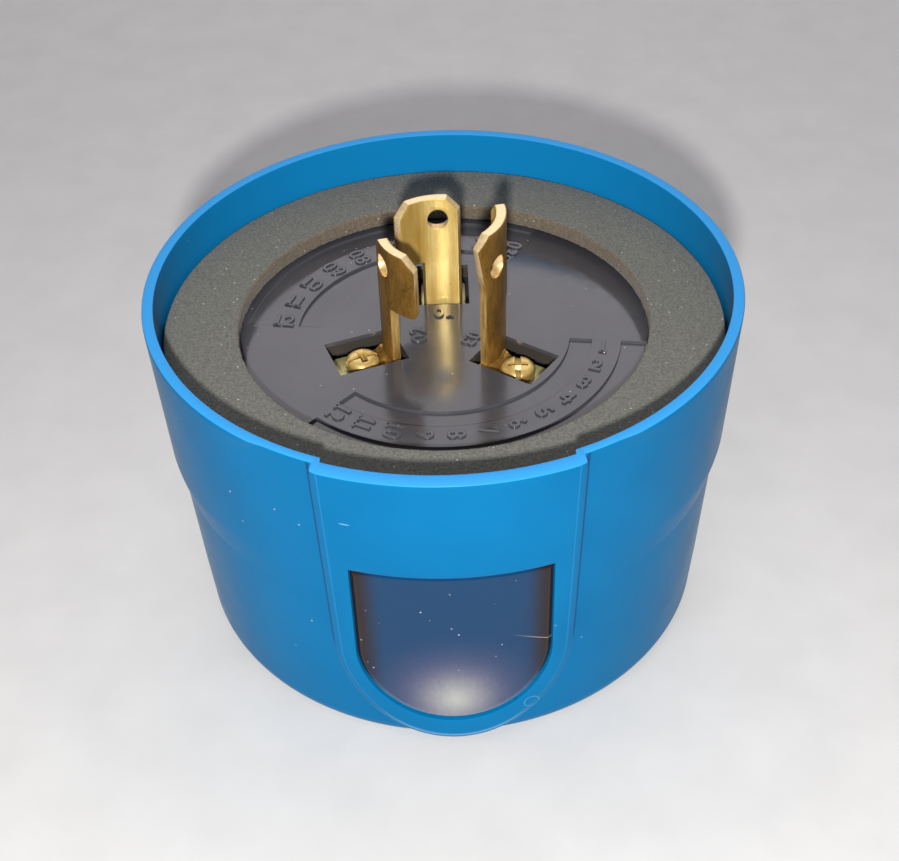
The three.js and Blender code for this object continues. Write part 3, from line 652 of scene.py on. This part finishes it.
def arch_distance(x, z, half, arch_z, arch_h):
    """Signed distance in from a U outline: straight legs above arch_z, half an ellipse below."""
    low = np.minimum(z - arch_z, 0.0)
    f = np.sqrt((x / half) ** 2 + (low / arch_h) ** 2) + 1e-9
    slope = np.sqrt((x / half ** 2) ** 2 + (low / arch_h ** 2) ** 2) / f + 1e-9
    return np.where(z >= arch_z, half - np.abs(x), (1.0 - f) / slope)


def window_distance(x, z, margin=0.0):
    legs = arch_distance(x, z, WINDOW_HALF + margin, WINDOW_ARCH_Z, WINDOW_ARCH_H + margin)
    return np.minimum(legs, WINDOW_TOP_Z + margin - z)


def panel_half(z):
    """Half width of the panel, which narrows downward as far as its arch."""
    return panel_radius(np.maximum(z, PANEL_ARCH_Z)) * math.sin(math.radians(PANEL_HALF_DEG))


def panel_distance(x, z):
    return arch_distance(x, z, panel_half(z), PANEL_ARCH_Z, PANEL_ARCH_H)


def body_radius(turn, z):
    """Outside of the drafted cup without its panel. turn is degrees from the front."""
    drop = np.clip(DOME_ROUND - z, 0.0, DOME_ROUND)
    dome = FOOT_R + np.sqrt(DOME_ROUND ** 2 - drop ** 2)
    wall, band, full = np.interp(z, *WALL), np.interp(z, *BAND), np.interp(z, *BAND_FULL)
    share = np.maximum(smoothstep(BAND_START[0], full, turn), smoothstep(BAND_START[1], full + 2.0, -turn))
    wall = np.where(z < BAND_Z, wall, wall + share * np.maximum(band - wall, 0.0))
    return np.where(z < DOME_ROUND, dome, wall)


def outer_radius(turn, z):
    """The cup with its raised front panel, whose border is slightly bevelled."""
    panel = panel_radius(z)
    x = panel * np.sin(np.radians(turn))
    front = np.abs(turn) < PANEL_REACH
    depth = np.where(front, panel_distance(x, z), FAR)
    bevel = 0.16 * (1.0 - smoothstep(0.0, 1.3, depth)) + 0.14 * (1.0 - smoothstep(0.0, 0.45, depth)) ** 2
    lip = 0.10 * (1.0 - smoothstep(0.0, 0.35, -window_distance(x, z))) * front
    body = body_radius(turn, z)
    return body + smoothstep(-PANEL_STEP_W, 0.0, depth) * (panel - bevel - lip - body)


def inner_radius(turn, z):
    """Inside of the cup: bore, seat for the base plate, relief and window pocket at the front."""
    radius = np.interp(z, *INSIDE)
    relief = 1.0 - smoothstep(RELIEF_HALF_DEG - 0.25, RELIEF_HALF_DEG + 0.25, np.abs(turn))
    radius = np.where(z > LEDGE_Z, radius + relief * (RELIEF_R - radius), radius)
    pocket = panel_radius(z) - POCKET_DEPTH
    x = pocket * np.sin(np.radians(turn))
    depth = np.where(np.abs(turn) < PANEL_REACH, window_distance(x, z, POCKET_MARGIN), FAR)
    return np.where(z < LEDGE_Z - 1.0, radius + smoothstep(-0.15, 0.15, depth) * (pocket - radius), radius)


def turn_at(x, z):
    """Degrees from the front of a point of the panel."""
    return np.degrees(np.arcsin(np.clip(x / panel_radius(z), -1.0, 1.0)))


def moved(x, z, move, reach, half, arch_z, arch_h):
    """The marked points moved in by reach, square to a U outline of that half width."""
    gx, gz = x / half ** 2, np.minimum(z - arch_z, 0.0) / arch_h ** 2
    length = np.sqrt(gx ** 2 + gz ** 2) + 1e-12
    return np.where(move, x + reach * gx / length, x), np.where(move, z + reach * gz / length, z)


def snapped(turns, heights):
    """Grid of (turn, z) with the points near the window's outline moved onto it."""
    turn, z = np.meshgrid(turns, heights)
    near = np.abs(turn) < SNAP_REACH
    x = panel_radius(z) * np.sin(np.radians(turn))
    arch = (WINDOW_HALF, WINDOW_ARCH_Z, WINDOW_ARCH_H)
    for _ in range(3):
        d = arch_distance(x, z, *arch)
        move = near & (np.abs(d) < 0.72 * SNAP_CELL) & (z <= WINDOW_TOP_Z + 1e-6)
        x, z = moved(x, z, move, d, *arch)
    turn = np.where(near, turn_at(x, z), turn)
    d = arch_distance(x, z, *arch)
    inside = near & (d > 1e-3) & (z < WINDOW_TOP_Z - 1e-6)
    outside = ~near | (d < -1e-3) | (z > WINDOW_TOP_Z + 1e-6)
    return turn, z, inside, outside


def hugged(turn, z):
    """The grid with the points near the panel's outline moved onto the top or the foot of its step."""
    near = (np.abs(turn) < SNAP_REACH) & (z > 1.5) & (z < RIM_Z - 0.5)
    half = panel_half(z)
    x = panel_radius(z) * np.sin(np.radians(turn))
    for line in (0.0, 0.0, -PANEL_STEP_W, -PANEL_STEP_W):
        d = panel_distance(x, z) - line
        x, z = moved(x, z, near & (np.abs(d) < 0.14), d, half, PANEL_ARCH_Z, PANEL_ARCH_H)
    return np.where(near, turn_at(x, z), turn), z


def ring_points(turn, radius, z):
    a = np.radians(turn + FRONT)
    return np.stack([radius * np.cos(a), radius * np.sin(a), z], axis=-1)


def steps(low, high, size):
    return np.linspace(low, high, max(2, int(round((high - low) / size)) + 1))


def housing_columns():
    """Degrees from the front of the grid's columns, close together across the panel."""
    turns = np.concatenate([
        steps(-41.0, -25.0, 0.8)[:-1], steps(-25.0, 25.0, 0.27), steps(25.0, 41.0, 0.8)[1:],
        steps(41.0, 319.0, 2.4)[1:-1]])
    return (turns + 180.0) % 360.0 - 180.0


def housing_heights():
    """Heights of the outside's lowest rows, and of the rows that the outside and the inside share."""
    low = [0.1, 0.4, 0.8, 1.3, 1.8, 2.1, 2.3, 2.5, 2.7, 2.9, 3.05, 3.2, 3.4, 3.6, 3.8, 4.0, 4.2, 4.4]
    window = np.concatenate([steps(4.6, 11.0, 0.2)[:-1], steps(11.0, WINDOW_TOP_Z, 0.30), [37.7, 38.2]])
    upper = [39.0, 39.8, 40.6, 41.4, 42.15, 42.25, 43.0, 44.5, 46.0, 47.5, 49.0, 50.5, 52.0, 53.0, 53.7]
    return low, np.concatenate([window, upper])


def rim_rows(turns):
    """The rim's two rounded edges, from the outside in."""
    level = np.full(len(turns), RIM_Z)
    top, bore = outer_radius(turns, level), inner_radius(turns, level)
    rounds = [(top - 0.04, 0.14), (top - 0.12, 0.04), (top - 0.26, 0.0)]
    rounds += [(bore + 0.20, 0.0), (bore + 0.06, 0.05), (bore, 0.2)]
    return [ring_points(turns, radius, level - drop) for radius, drop in rounds]


def window_cells(inside, outside):
    """The cells of the shared rows that lie in the window, as (row, column)."""
    def any_corner(marks):
        ends = marks[:-1] | marks[1:]
        return ends | np.roll(ends, -1, axis=1)

    return {tuple(cell) for cell in np.argwhere(any_corner(inside) & ~any_corner(outside)).tolist()}


def window_sides(cells, columns, outer, inner):
    """Faces through the wall round the window. outer and inner give the vertex of a (row, column)."""
    faces = []
    for k, c in sorted(cells):
        d = (c + 1) % columns
        sides = [((k, c), (k, d), (k - 1, c)), ((k, d), (k + 1, d), (k, d)),
                 ((k + 1, d), (k + 1, c), (k + 1, c)), ((k + 1, c), (k, c), (k, (c - 1) % columns))]
        for here, after, neighbour in sides:
            if neighbour not in cells:
                faces.append((outer(after), outer(here), inner(here), inner(after)))
    return faces


def housing_mesh():
    """The cup as one grid: across the foot, up the outside, over the rim, down the inside to the floor."""
    turns = housing_columns()
    low, shared = housing_heights()
    turn, z, inside, outside = snapped(turns, shared)
    columns, count = len(turns), len(shared)
    rows = [ring_points(turns, np.full(columns, r), np.zeros(columns)) for r in FOOT_RINGS]
    for height in low:
        spread, heights = hugged(turns, np.full(columns, height))
        rows.append(ring_points(spread, outer_radius(spread, heights), heights))
    outer_first = len(rows)
    out_turn, out_z = hugged(turn, z)
    rows.extend(ring_points(out_turn, outer_radius(out_turn, out_z), out_z))
    rows.extend(rim_rows(turns))
    inner_last = len(rows) + count - 1
    rows.extend(ring_points(turn, inner_radius(turn, z), z)[::-1])
    rows.extend(ring_points(turns, np.full(columns, r), np.full(columns, h)) for r, h in FLOOR_RINGS)

    cells = window_cells(inside, outside)
    gone = {(outer_first + k, c) for k, c in cells} | {(inner_last - k - 1, c) for k, c in cells}
    faces = window_sides(cells, columns, lambda p: (outer_first + p[0]) * columns + p[1],
                         lambda p: (inner_last - p[0]) * columns + p[1])
    for row in range(len(rows) - 1):
        for c in range(columns):
            d = (c + 1) % columns
            a, b = row * columns, (row + 1) * columns
            if (row, c) not in gone:
                faces.append((a + c, a + d, b + d, b + c))
    foot, last = len(rows) * columns, (len(rows) - 1) * columns
    for c in range(columns):
        d = (c + 1) % columns
        faces.append((foot, d, c))
        faces.append((foot + 1, last + c, last + d))
    verts = [*np.concatenate(rows).tolist(), (0.0, 0.0, 0.0), (0.0, 0.0, FLOOR_Z)]
    return mesh_from("housing_shell", verts, faces)


# ---------------- window pane

def pane_mesh():
    """The smoked pane: a curved slab on the window's outline with a rolled edge."""
    rows = steps(WINDOW_ARCH_Z - WINDOW_ARCH_H + PANE_GAP, WINDOW_TOP_Z - PANE_GAP, 0.3)
    across = steps(-1.0, 1.0, 0.025)
    verts, index = [], {}

    def half_width(z):
        low = min(z - WINDOW_ARCH_Z, 0.0) / (WINDOW_ARCH_H - PANE_GAP)
        return (WINDOW_HALF - PANE_GAP) * math.sqrt(max(0.0, 1.0 - low * low))

    first = rows[0]
    rows = np.concatenate([[first], first + 0.12 * np.arange(1, 4) ** 1.6 / 3.0, rows[2:]])
    for side in (0, 1):
        for i, z in enumerate(rows):
            half = half_width(z)
            for j, t in enumerate(across):
                x = half * math.sin(t * math.pi / 2.0)
                edge = float(window_distance(x, z)) - PANE_GAP
                roll = PANE_ROLL * (1.0 - smoothstep(0.0, PANE_ROLL * 2.0, edge)) ** 2
                depth = PANE_DEPTH + roll if side == 0 else PANE_DEPTH + PANE_T
                r = panel_radius(z) - float(depth)
                index[side, i, j] = len(verts)
                verts.append((x, -math.sqrt(r * r - x * x), z))
    faces = []
    last_i, last_j = len(rows) - 1, len(across) - 1

    def add_face(*corners):
        faces.append(tuple(index[corner] for corner in corners))

    for i in range(last_i):
        for j in range(last_j):
            add_face((0, i, j), (0, i, j + 1), (0, i + 1, j + 1), (0, i + 1, j))
            add_face((1, i, j), (1, i + 1, j), (1, i + 1, j + 1), (1, i, j + 1))
        add_face((0, i, 0), (0, i + 1, 0), (1, i + 1, 0), (1, i, 0))
        add_face((0, i, last_j), (1, i, last_j), (1, i + 1, last_j), (0, i + 1, last_j))
    for j in range(last_j):
        add_face((0, 0, j), (1, 0, j), (1, 0, j + 1), (0, 0, j + 1))
        add_face((0, last_i, j), (0, last_i, j + 1), (1, last_i, j + 1), (1, last_i, j))
    return weld(mesh_from("lens_pane", verts, faces))


def weld(mesh):
    with editing(mesh) as bm:
        bmesh.ops.remove_doubles(bm, verts=bm.verts, dist=1e-7)
        bmesh.ops.dissolve_degenerate(bm, dist=1e-8, edges=bm.edges)
        bmesh.ops.recalc_face_normals(bm, faces=bm.faces)
    return mesh


# ---------------- base plate

def arc_prism(r_in, r_out, start, end, z_low, z_high):
    """An arc-shaped cutter, wider at its top on every side."""
    count = max(2, int(abs(end - start) / 1.5))
    verts = []
    for z, grow in ((z_low, 0.0), (z_high, POCKET_DRAFT)):
        for r, sign in ((r_in, -1.0), (r_out, 1.0)):
            spread = math.degrees(grow / r)
            for k in range(count + 1):
                c, s = unit(start - spread + (end - start + 2.0 * spread) * k / count)
                verts.append(((r + sign * grow) * c, (r + sign * grow) * s, z))
    n = count + 1
    faces = []
    for k in range(count):
        faces.append((k, k + 1, n + k + 1, n + k))
        faces.append((2 * n + k, 3 * n + k, 3 * n + k + 1, 2 * n + k + 1))
        faces.append((k, 2 * n + k, 2 * n + k + 1, k + 1))
        faces.append((n + k, n + k + 1, 3 * n + k + 1, 3 * n + k))
    faces.append((0, n, 3 * n, 2 * n))
    faces.append((n - 1, 3 * n - 1, 4 * n - 1, 2 * n - 1))
    return weld(mesh_from("arc", verts, faces))


def figure_mesh(mark, height, rise):
    """One raised figure lying flat; a one gets a foot bar."""
    curve = bpy.data.curves.new("figure", "FONT")
    curve.body = mark
    curve.size = height / NUMERAL_CAP * MM
    curve.offset = 0.01 * MM
    curve.extrude = (0.5 * rise - NUMERAL_ROUND) * MM
    curve.bevel_depth = NUMERAL_ROUND * MM
    curve.bevel_resolution = 2
    curve.resolution_u = 6
    obj = placed("figure", curve)
    mesh = evaluated(obj)
    bpy.data.objects.remove(obj)
    bpy.data.curves.remove(curve)
    if mark != "1":
        return mesh
    right = max(v.co.x for v in mesh.vertices) / MM
    foot = min(v.co.y for v in mesh.vertices) / MM
    bar = box_mesh((BAR_W, BAR_T, rise), (right - ONE_STEM / 2.0, foot + BAR_T / 2.0, 0.0))
    return joined("one", [mesh, soften(bar, 0.05 * MM)])


def numeral_mesh(text, height, radius, angle, turn, rise=NUMERAL_RISE):
    """A raised numeral centred at radius and angle on the plate, its top turned to turn degrees."""
    figures = [figure_mesh(mark, height, rise) for mark in text]
    reach = 0.0
    for figure in figures:
        left = min(v.co.x for v in figure.vertices)
        figure.transform(Matrix.Translation((reach - left, 0.0, 0.0)))
        reach = max(v.co.x for v in figure.vertices) + FIGURE_GAP * MM
    mesh = joined("numeral", figures)
    corners = [v.co for v in mesh.vertices]
    middle = Vector([0.5 * (min(c[i] for c in corners) + max(c[i] for c in corners)) for i in range(3)])
    c, s = unit(angle)
    place = Vector((radius * c, radius * s, PLATE_TOP_Z + 0.35 * rise)) * MM
    mesh.transform(Matrix.Translation(place) @ turning(turn - 90.0) @ Matrix.Translation(-middle))
    return mesh


def numeral_meshes():
    """Month numbers 1 to 12 and a row of two-digit numbers, plus one number beside each blade."""
    out = []
    for month in range(1, 13):
        angle = MONTH_FIRST - MONTH_PITCH * (month - 1)
        out.append(numeral_mesh(str(month), NUMERAL_H, MONTH_R, angle, angle + 90.0))
    for k, number in enumerate(DIAL_NUMBERS):
        angle = DIAL_FIRST - DIAL_PITCH * k
        out.append(numeral_mesh(number, NUMERAL_H, DIAL_R, angle, angle - 90.0))
    for text, radius, angle, turn in TERMINAL_NUMBERS:
        out.append(numeral_mesh(text, TERMINAL_H, radius, angle, turn, TERMINAL_RISE))
    return out


def base_disc_mesh():
    """The plate with its recessed bands, its three slots and its numerals."""
    low = PLATE_TOP_Z - PLATE_T
    edge = [(0.0, low), (PLATE_R - 0.3, low), (PLATE_R, low + 0.3), (PLATE_R, PLATE_TOP_Z - 0.4),
            (PLATE_R - 0.12, PLATE_TOP_Z - 0.12), (PLATE_R - 0.4, PLATE_TOP_Z), (0.0, PLATE_TOP_Z)]
    cutters = []
    for start, end in (MONTH_ARC, YEAR_ARC):
        for radii in (POCKET_IN, POCKET_OUT):
            cutters.append(arc_prism(*radii, start, end, PLATE_TOP_Z - POCKET_H, PLATE_TOP_Z + 0.2))
    length = SLOT_R[1] - SLOT_R[0]
    for angle in SLOT_ANGLES.values():
        cutters.append(box_mesh((length, SLOT_W, 6.0), (SLOT_R[0] + length / 2.0, 0.0, low + 1.0), angle))
    disc = boolean(turned_mesh(edge, 192), cutters)
    return joined("base_disc", [disc, *numeral_meshes()])


# ---------------- gasket

def foam_mesh():
    """The cut foam ring: soft corners, a slightly ragged bore, and its outline following the seat."""
    low, high = PLATE_TOP_Z + 0.3, GASKET_Z
    turns = steps(-180.0, 180.0, 0.5)[:-1]
    outer = inner_radius(turns, np.full(len(turns), 46.5)) - 0.25
    outer = np.minimum(outer, np.where(np.abs(turns) < RELIEF_HALF_DEG + 1.0, 40.5, GASKET_R))
    # Each point of the section: share of the way out from the bore, height, and a shift outward.
    section = [(0, 0.06, 0.3), (0, 0.5, 0.0), (0, 1.1, 0.05), (0, 1.9, 0.0), (0, 2.35, 0.03),
               (0, 2.6, 0.12), (0, 2.68, 0.32)]
    section += [(share, 2.7, 0.0) for share in np.linspace(0.06, 0.94, 16)]
    section += [(1, 2.66, -0.30), (1, 2.55, -0.10), (1, 2.2, 0.0), (1, 1.3, 0.0), (1, 0.4, 0.0),
                (1, 0.05, -0.3)]
    section += [(0.75, 0.0, 0.0), (0.25, 0.0, 0.0)]
    verts = []
    for turn, r_out in zip(turns, outer):
        c, s = unit(turn + FRONT)
        for share, height, shift in section:
            r = GASKET_BORE_R + share * (r_out - GASKET_BORE_R) + shift
            z = low + height * (high - low) / 2.7
            spot = Vector((r * c, r * s, z))
            rough = noise.noise(spot * 1.3) * 0.05 + noise.noise(spot * 0.35) * 0.05
            if share == 0:
                r += rough + 0.10 * noise.noise(Vector((c * 40.0, s * 40.0, 3.0)))
            if height > 2.4:
                z += 0.6 * rough - 0.04
            verts.append((r * c, r * s, z))
    n, count = len(section), len(turns)
    faces = []
    for k in range(count):
        after = (k + 1) % count
        for j in range(n):
            faces.append((k * n + j, k * n + (j + 1) % n, after * n + (j + 1) % n, after * n + j))
    return weld(mesh_from("foam_ring", verts, faces))


# ---------------- blades and screws

def rounded(points, radius_by_point, segments=3):
    """A polygon with an arc of the given radius at each corner (0 keeps it sharp)."""
    out = []
    n = len(points)
    for k, (point, radius) in enumerate(zip(points, radius_by_point)):
        here = Vector(point)
        to_last = (Vector(points[k - 1]) - here).normalized()
        to_next = (Vector(points[(k + 1) % n]) - here).normalized()
        if radius == 0.0:
            out.append(tuple(here))
            continue
        half = to_last.angle(to_next) / 2.0
        reach = radius / math.tan(half)
        a, b = here + to_last * reach, here + to_next * reach
        centre = here + (to_last + to_next).normalized() * (radius / math.sin(half))
        start, end = a - centre, b - centre
        for j in range(segments + 1):
            spot = start.lerp(end, j / segments).normalized() * radius
            out.append(tuple(centre + spot))
    return out


def plate_mesh(outline, thickness):
    """A flat plate in the (x, z) plane, centred on y = 0."""
    mesh = bpy.data.meshes.new("plate")
    n = len(outline)
    with editing(mesh) as bm:
        loops = []
        for y in (-thickness / 2.0, thickness / 2.0):
            loops.append([bm.verts.new((x, y, z)) for x, z in outline])
        bm.faces.new(loops[0])
        bm.faces.new(list(reversed(loops[1])))
        for k in range(n):
            bm.faces.new((loops[0][k], loops[1][k], loops[1][(k + 1) % n], loops[0][(k + 1) % n]))
        bmesh.ops.recalc_face_normals(bm, faces=bm.faces)
    return mesh


def soften(mesh, width, segments=2, angle_deg=35.0):
    """Round the edges that turn more than angle_deg."""
    limit = math.radians(angle_deg)
    with editing(mesh) as bm:
        bmesh.ops.remove_doubles(bm, verts=bm.verts, dist=width * 0.05)
        bmesh.ops.dissolve_limit(bm, angle_limit=math.radians(0.5), verts=bm.verts, edges=bm.edges)
        sharp = [e for e in bm.edges if len(e.link_faces) == 2 and e.calc_face_angle() > limit]
        bmesh.ops.bevel(bm, geom=sharp, offset=width, segments=segments, profile=0.5, affect="EDGES",
                        clamp_overlap=True)
    return mesh


def slice_mesh(mesh, spots, normal):
    """Extra edges across the mesh where it's going to bend."""
    with editing(mesh) as bm:
        for spot in spots:
            geom = [*bm.verts, *bm.edges, *bm.faces]
            bmesh.ops.bisect_plane(bm, geom=geom, plane_co=Vector(normal) * spot, plane_no=normal)
    return mesh


def drum_mesh(radius, depth):
    """A cylinder along y, for holes."""
    mesh = bpy.data.meshes.new("drum")
    with editing(mesh) as bm:
        bmesh.ops.create_cone(bm, cap_ends=True, segments=40, radius1=radius, radius2=radius, depth=depth)
        bmesh.ops.rotate(bm, verts=bm.verts, matrix=Matrix.Rotation(math.pi / 2.0, 3, "X"))
    return mesh


def foot_mesh():
    """The blade's flat foot, which the terminal screw holds, pointing along +X."""
    half = FOOT_W / 2.0
    outline = [(BLADE_MID_R, -half), (FOOT_OUT, -half), (FOOT_OUT, half), (BLADE_MID_R, half)]
    foot = plate_mesh(rounded(outline, [0.2, 1.3, 1.3, 0.2], 5), FOOT_T)
    foot.transform(turning(-90.0, "X"))
    foot = soften(foot, 0.15)
    foot.transform(Matrix.Translation((0.0, 0.0, FOOT_TOP_Z - FOOT_T / 2.0)))
    return foot


def heel_mesh():
    """The bend between the blade and its foot."""
    inner = BLADE_MID_R - 0.7
    outline = [(inner, 0.0), (BLADE_MID_R + 2.0, 0.0), (BLADE_MID_R + 2.0, 0.3), (BLADE_MID_R + 0.65, 1.7),
               (inner, 1.7)]
    heel = plate_mesh(rounded(outline, [0.0, 0.0, 0.0, 1.2, 0.0], 6), 0.75 * FOOT_W)
    heel.transform(Matrix.Translation((0.0, 0.0, FOOT_TOP_Z - 0.3)))
    return heel


def blade_mesh(name):
    """A locking blade, cut flat, softened along its edges, then bent to its circle."""
    shape = BLADES[name]
    top, hook_z, low = shape["top"], shape["hook_z"], FOOT_TOP_Z - 0.1
    arc = math.radians(1.0) * BLADE_MID_R
    side, wide, end, hook = (d * arc for d in (*shape["side"], shape["end"], shape["hook"]))
    points = [(side, low), (end, low), (end, hook_z), (hook, hook_z), (hook, top - BLADE_BEVEL),
              (hook - BLADE_BEVEL, top), (wide + BLADE_BEVEL, top), (wide, top - BLADE_BEVEL)]
    radii = [0.0, 0.0, 0.45, 0.4, 0.25, 0.3, 0.3, 0.25]
    if wide != side:
        points.append((side, hook_z + 3.5))
        radii.append(2.0)
    flat = plate_mesh(rounded(points, radii), BLADE_T)
    hole = drum_mesh(BLADE_HOLE_D / 2.0, 6.0)
    hole.transform(Matrix.Translation((BLADE_HOLE_IN, 0.0, BLADE_HOLE_Z)))
    flat = boolean(flat, [hole])
    flat = soften(flat, BLADE_SOFT)
    flat = slice_mesh(flat, np.arange(wide + 0.2, hook, 0.33), (1.0, 0.0, 0.0))
    flat = slice_mesh(flat, np.arange(low + 1.0, top, 1.0), (0.0, 0.0, 1.0))
    for v in flat.vertices:
        a = v.co.x / BLADE_MID_R
        wobble = 0.07 * noise.noise(Vector((v.co.x * 0.55, 7.0 * len(name), v.co.z * 0.12)))
        r = BLADE_MID_R - v.co.y + wobble
        v.co = (r * math.cos(a), r * math.sin(a), v.co.z)
    mesh = joined("blade_" + name, [flat, foot_mesh(), heel_mesh()])
    mesh.transform(turning(SLOT_ANGLES[name]) @ Matrix.Scale(MM, 4))
    return mesh


def screw_head_mesh(turn):
    """A rounded pan head with a slot and cross wings, on its shank."""
    half, far = SCREW_HEAD_D / 2.0, SCREW_HEAD_D / 2.0 + 1.0
    profile = [(0.0, -2.0), (SHANK_R, -2.0), (SHANK_R, -0.02), (half - 0.25, 0.0), (half - 0.05, 0.10),
               (half, 0.32), (half - 0.02, 0.72), (half - 0.12, 1.08), (half - 0.36, 1.38),
               (half - 0.80, 1.60), (half - 1.45, 1.72), (0.0, SCREW_HEAD_H)]
    head = turned_mesh(profile, 56)
    head.transform(Matrix.Scale(1.0 / MM, 4))
    slot = plate_mesh([(-far, 0.70), (far, 0.70), (far, 3.0), (-far, 3.0)], SCREW_SLOT_W)
    across = [(-0.35, 0.1), (0.35, 0.1), (1.25, 0.6), (1.65, 3.0), (-1.65, 3.0), (-1.25, 0.6)]
    wings = plate_mesh(across, SCREW_WING_W)
    wings.transform(turning(90.0))
    along = [(-0.35, 0.1), (0.35, 0.1), (0.95, 0.9), (1.2, 3.0), (-1.2, 3.0), (-0.95, 0.9)]
    head = boolean(head, [slot, wings, plate_mesh(along, SCREW_WING_W)])
    head = soften(head, 0.14, 3, 40.0)
    head.transform(turning(turn))
    return head


def screw_mesh(name):
    head = screw_head_mesh(SCREW_TURNS[name])
    c, s = unit(SLOT_ANGLES[name])
    place = Vector((SCREW_R * c, SCREW_R * s, FOOT_TOP_Z + 0.3))
    head.transform(Matrix.Scale(MM, 4) @ Matrix.Translation(place))
    return head


# ---------------- camera, light, floor

def set_lamp(name, place, aim, size, watts, colour):
    data = bpy.data.lights.new(name, "AREA")
    data.shape = "DISK"
    data.size = size
    data.energy = watts
    data.color = colour
    light = placed(name, data)
    light.location = Vector(place) * MM
    light.rotation_mode = "QUATERNION"
    light.rotation_quaternion = (Vector(aim) - Vector(place)).to_track_quat("-Z", "Y")


def set_stage():
    floor = bpy.data.meshes.new("floor")
    s = FLOOR_HALF_M
    floor.from_pydata([(-s, -s, 0), (s, -s, 0), (s, s, 0), (-s, s, 0)], [], [(0, 1, 2, 3)])
    floor.materials.append(plain_finish("floor_pale", (0.62,) * 3, (0.66,) * 3, 0.8, grain=300.0))
    placed("floor", floor)
    world = bpy.data.worlds.new("studio")
    world.use_nodes = True
    background = world.node_tree.nodes["Background"]
    background.inputs["Color"].default_value = STUDIO_COLOUR
    background.inputs["Strength"].default_value = STUDIO_STRENGTH
    bpy.context.scene.world = world
    for name, settings in LAMPS.items():
        set_lamp(name, *settings)


def set_camera():
    data = bpy.data.cameras.new("camera")
    data.lens = CAMERA_LENS
    data.sensor_width = 36.0
    data.clip_start = 0.01
    data.clip_end = 10.0
    camera = placed("camera", data)
    e, roll = math.radians(CAMERA_ELEVATION), math.radians(CAMERA_ROLL)
    back = Vector((0.0, -math.cos(e), math.sin(e)))
    side = Vector((1.0, 0.0, 0.0))
    up = back.cross(side)
    right = side * math.cos(roll) + up * math.sin(roll)
    top = -side * math.sin(roll) + up * math.cos(roll)
    matrix = Matrix((right, top, back)).transposed().to_4x4()
    matrix.translation = Vector(CAMERA_MM) * MM
    camera.matrix_world = matrix
    bpy.context.scene.camera = camera


def inner_finishes(brass):
    """Finishes for the CAD nodes that keep their own mesh, by how a node's name starts."""
    finishes = {"terminal_nut": brass}
    for starts, settings in INNER_FINISHES.items():
        finishes.update(dict.fromkeys(starts, plain_finish(*settings)))
    return finishes


def finish_nodes(nodes, finishes):
    for name, node in nodes.items():
        starts = [start for start in finishes if name.startswith(start)]
        if node.type == "MESH" and starts:
            for slot in node.material_slots:
                slot.material = finishes[max(starts, key=len)]


def main():
    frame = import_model()
    set_stage()
    set_camera()
    piece("housing_shell", housing_mesh(), housing_finish(), ["housing"])
    piece("lens_pane", pane_mesh(), lens_finish(), ["window_lens"], 50.0)
    piece("base_disc", base_disc_mesh(), plate_finish(), ["base_plate"], 25.0)
    piece("foam_ring", foam_mesh(), foam_finish(), ["gasket"], 60.0)
    blade_brass = brass_finish("blade_brass")
    screw_brass = screw_finish("screw_brass")
    for name in SLOT_ANGLES:
        piece("blade_piece_" + name, blade_mesh(name), blade_brass, ["blade_" + name])
        piece("screw_piece_" + name, screw_mesh(name), screw_brass, ["terminal_screw_" + name])
    finish_nodes(frame["nodes"], inner_finishes(screw_brass))
    bpy.context.scene.view_settings.view_transform = "Standard"


main()
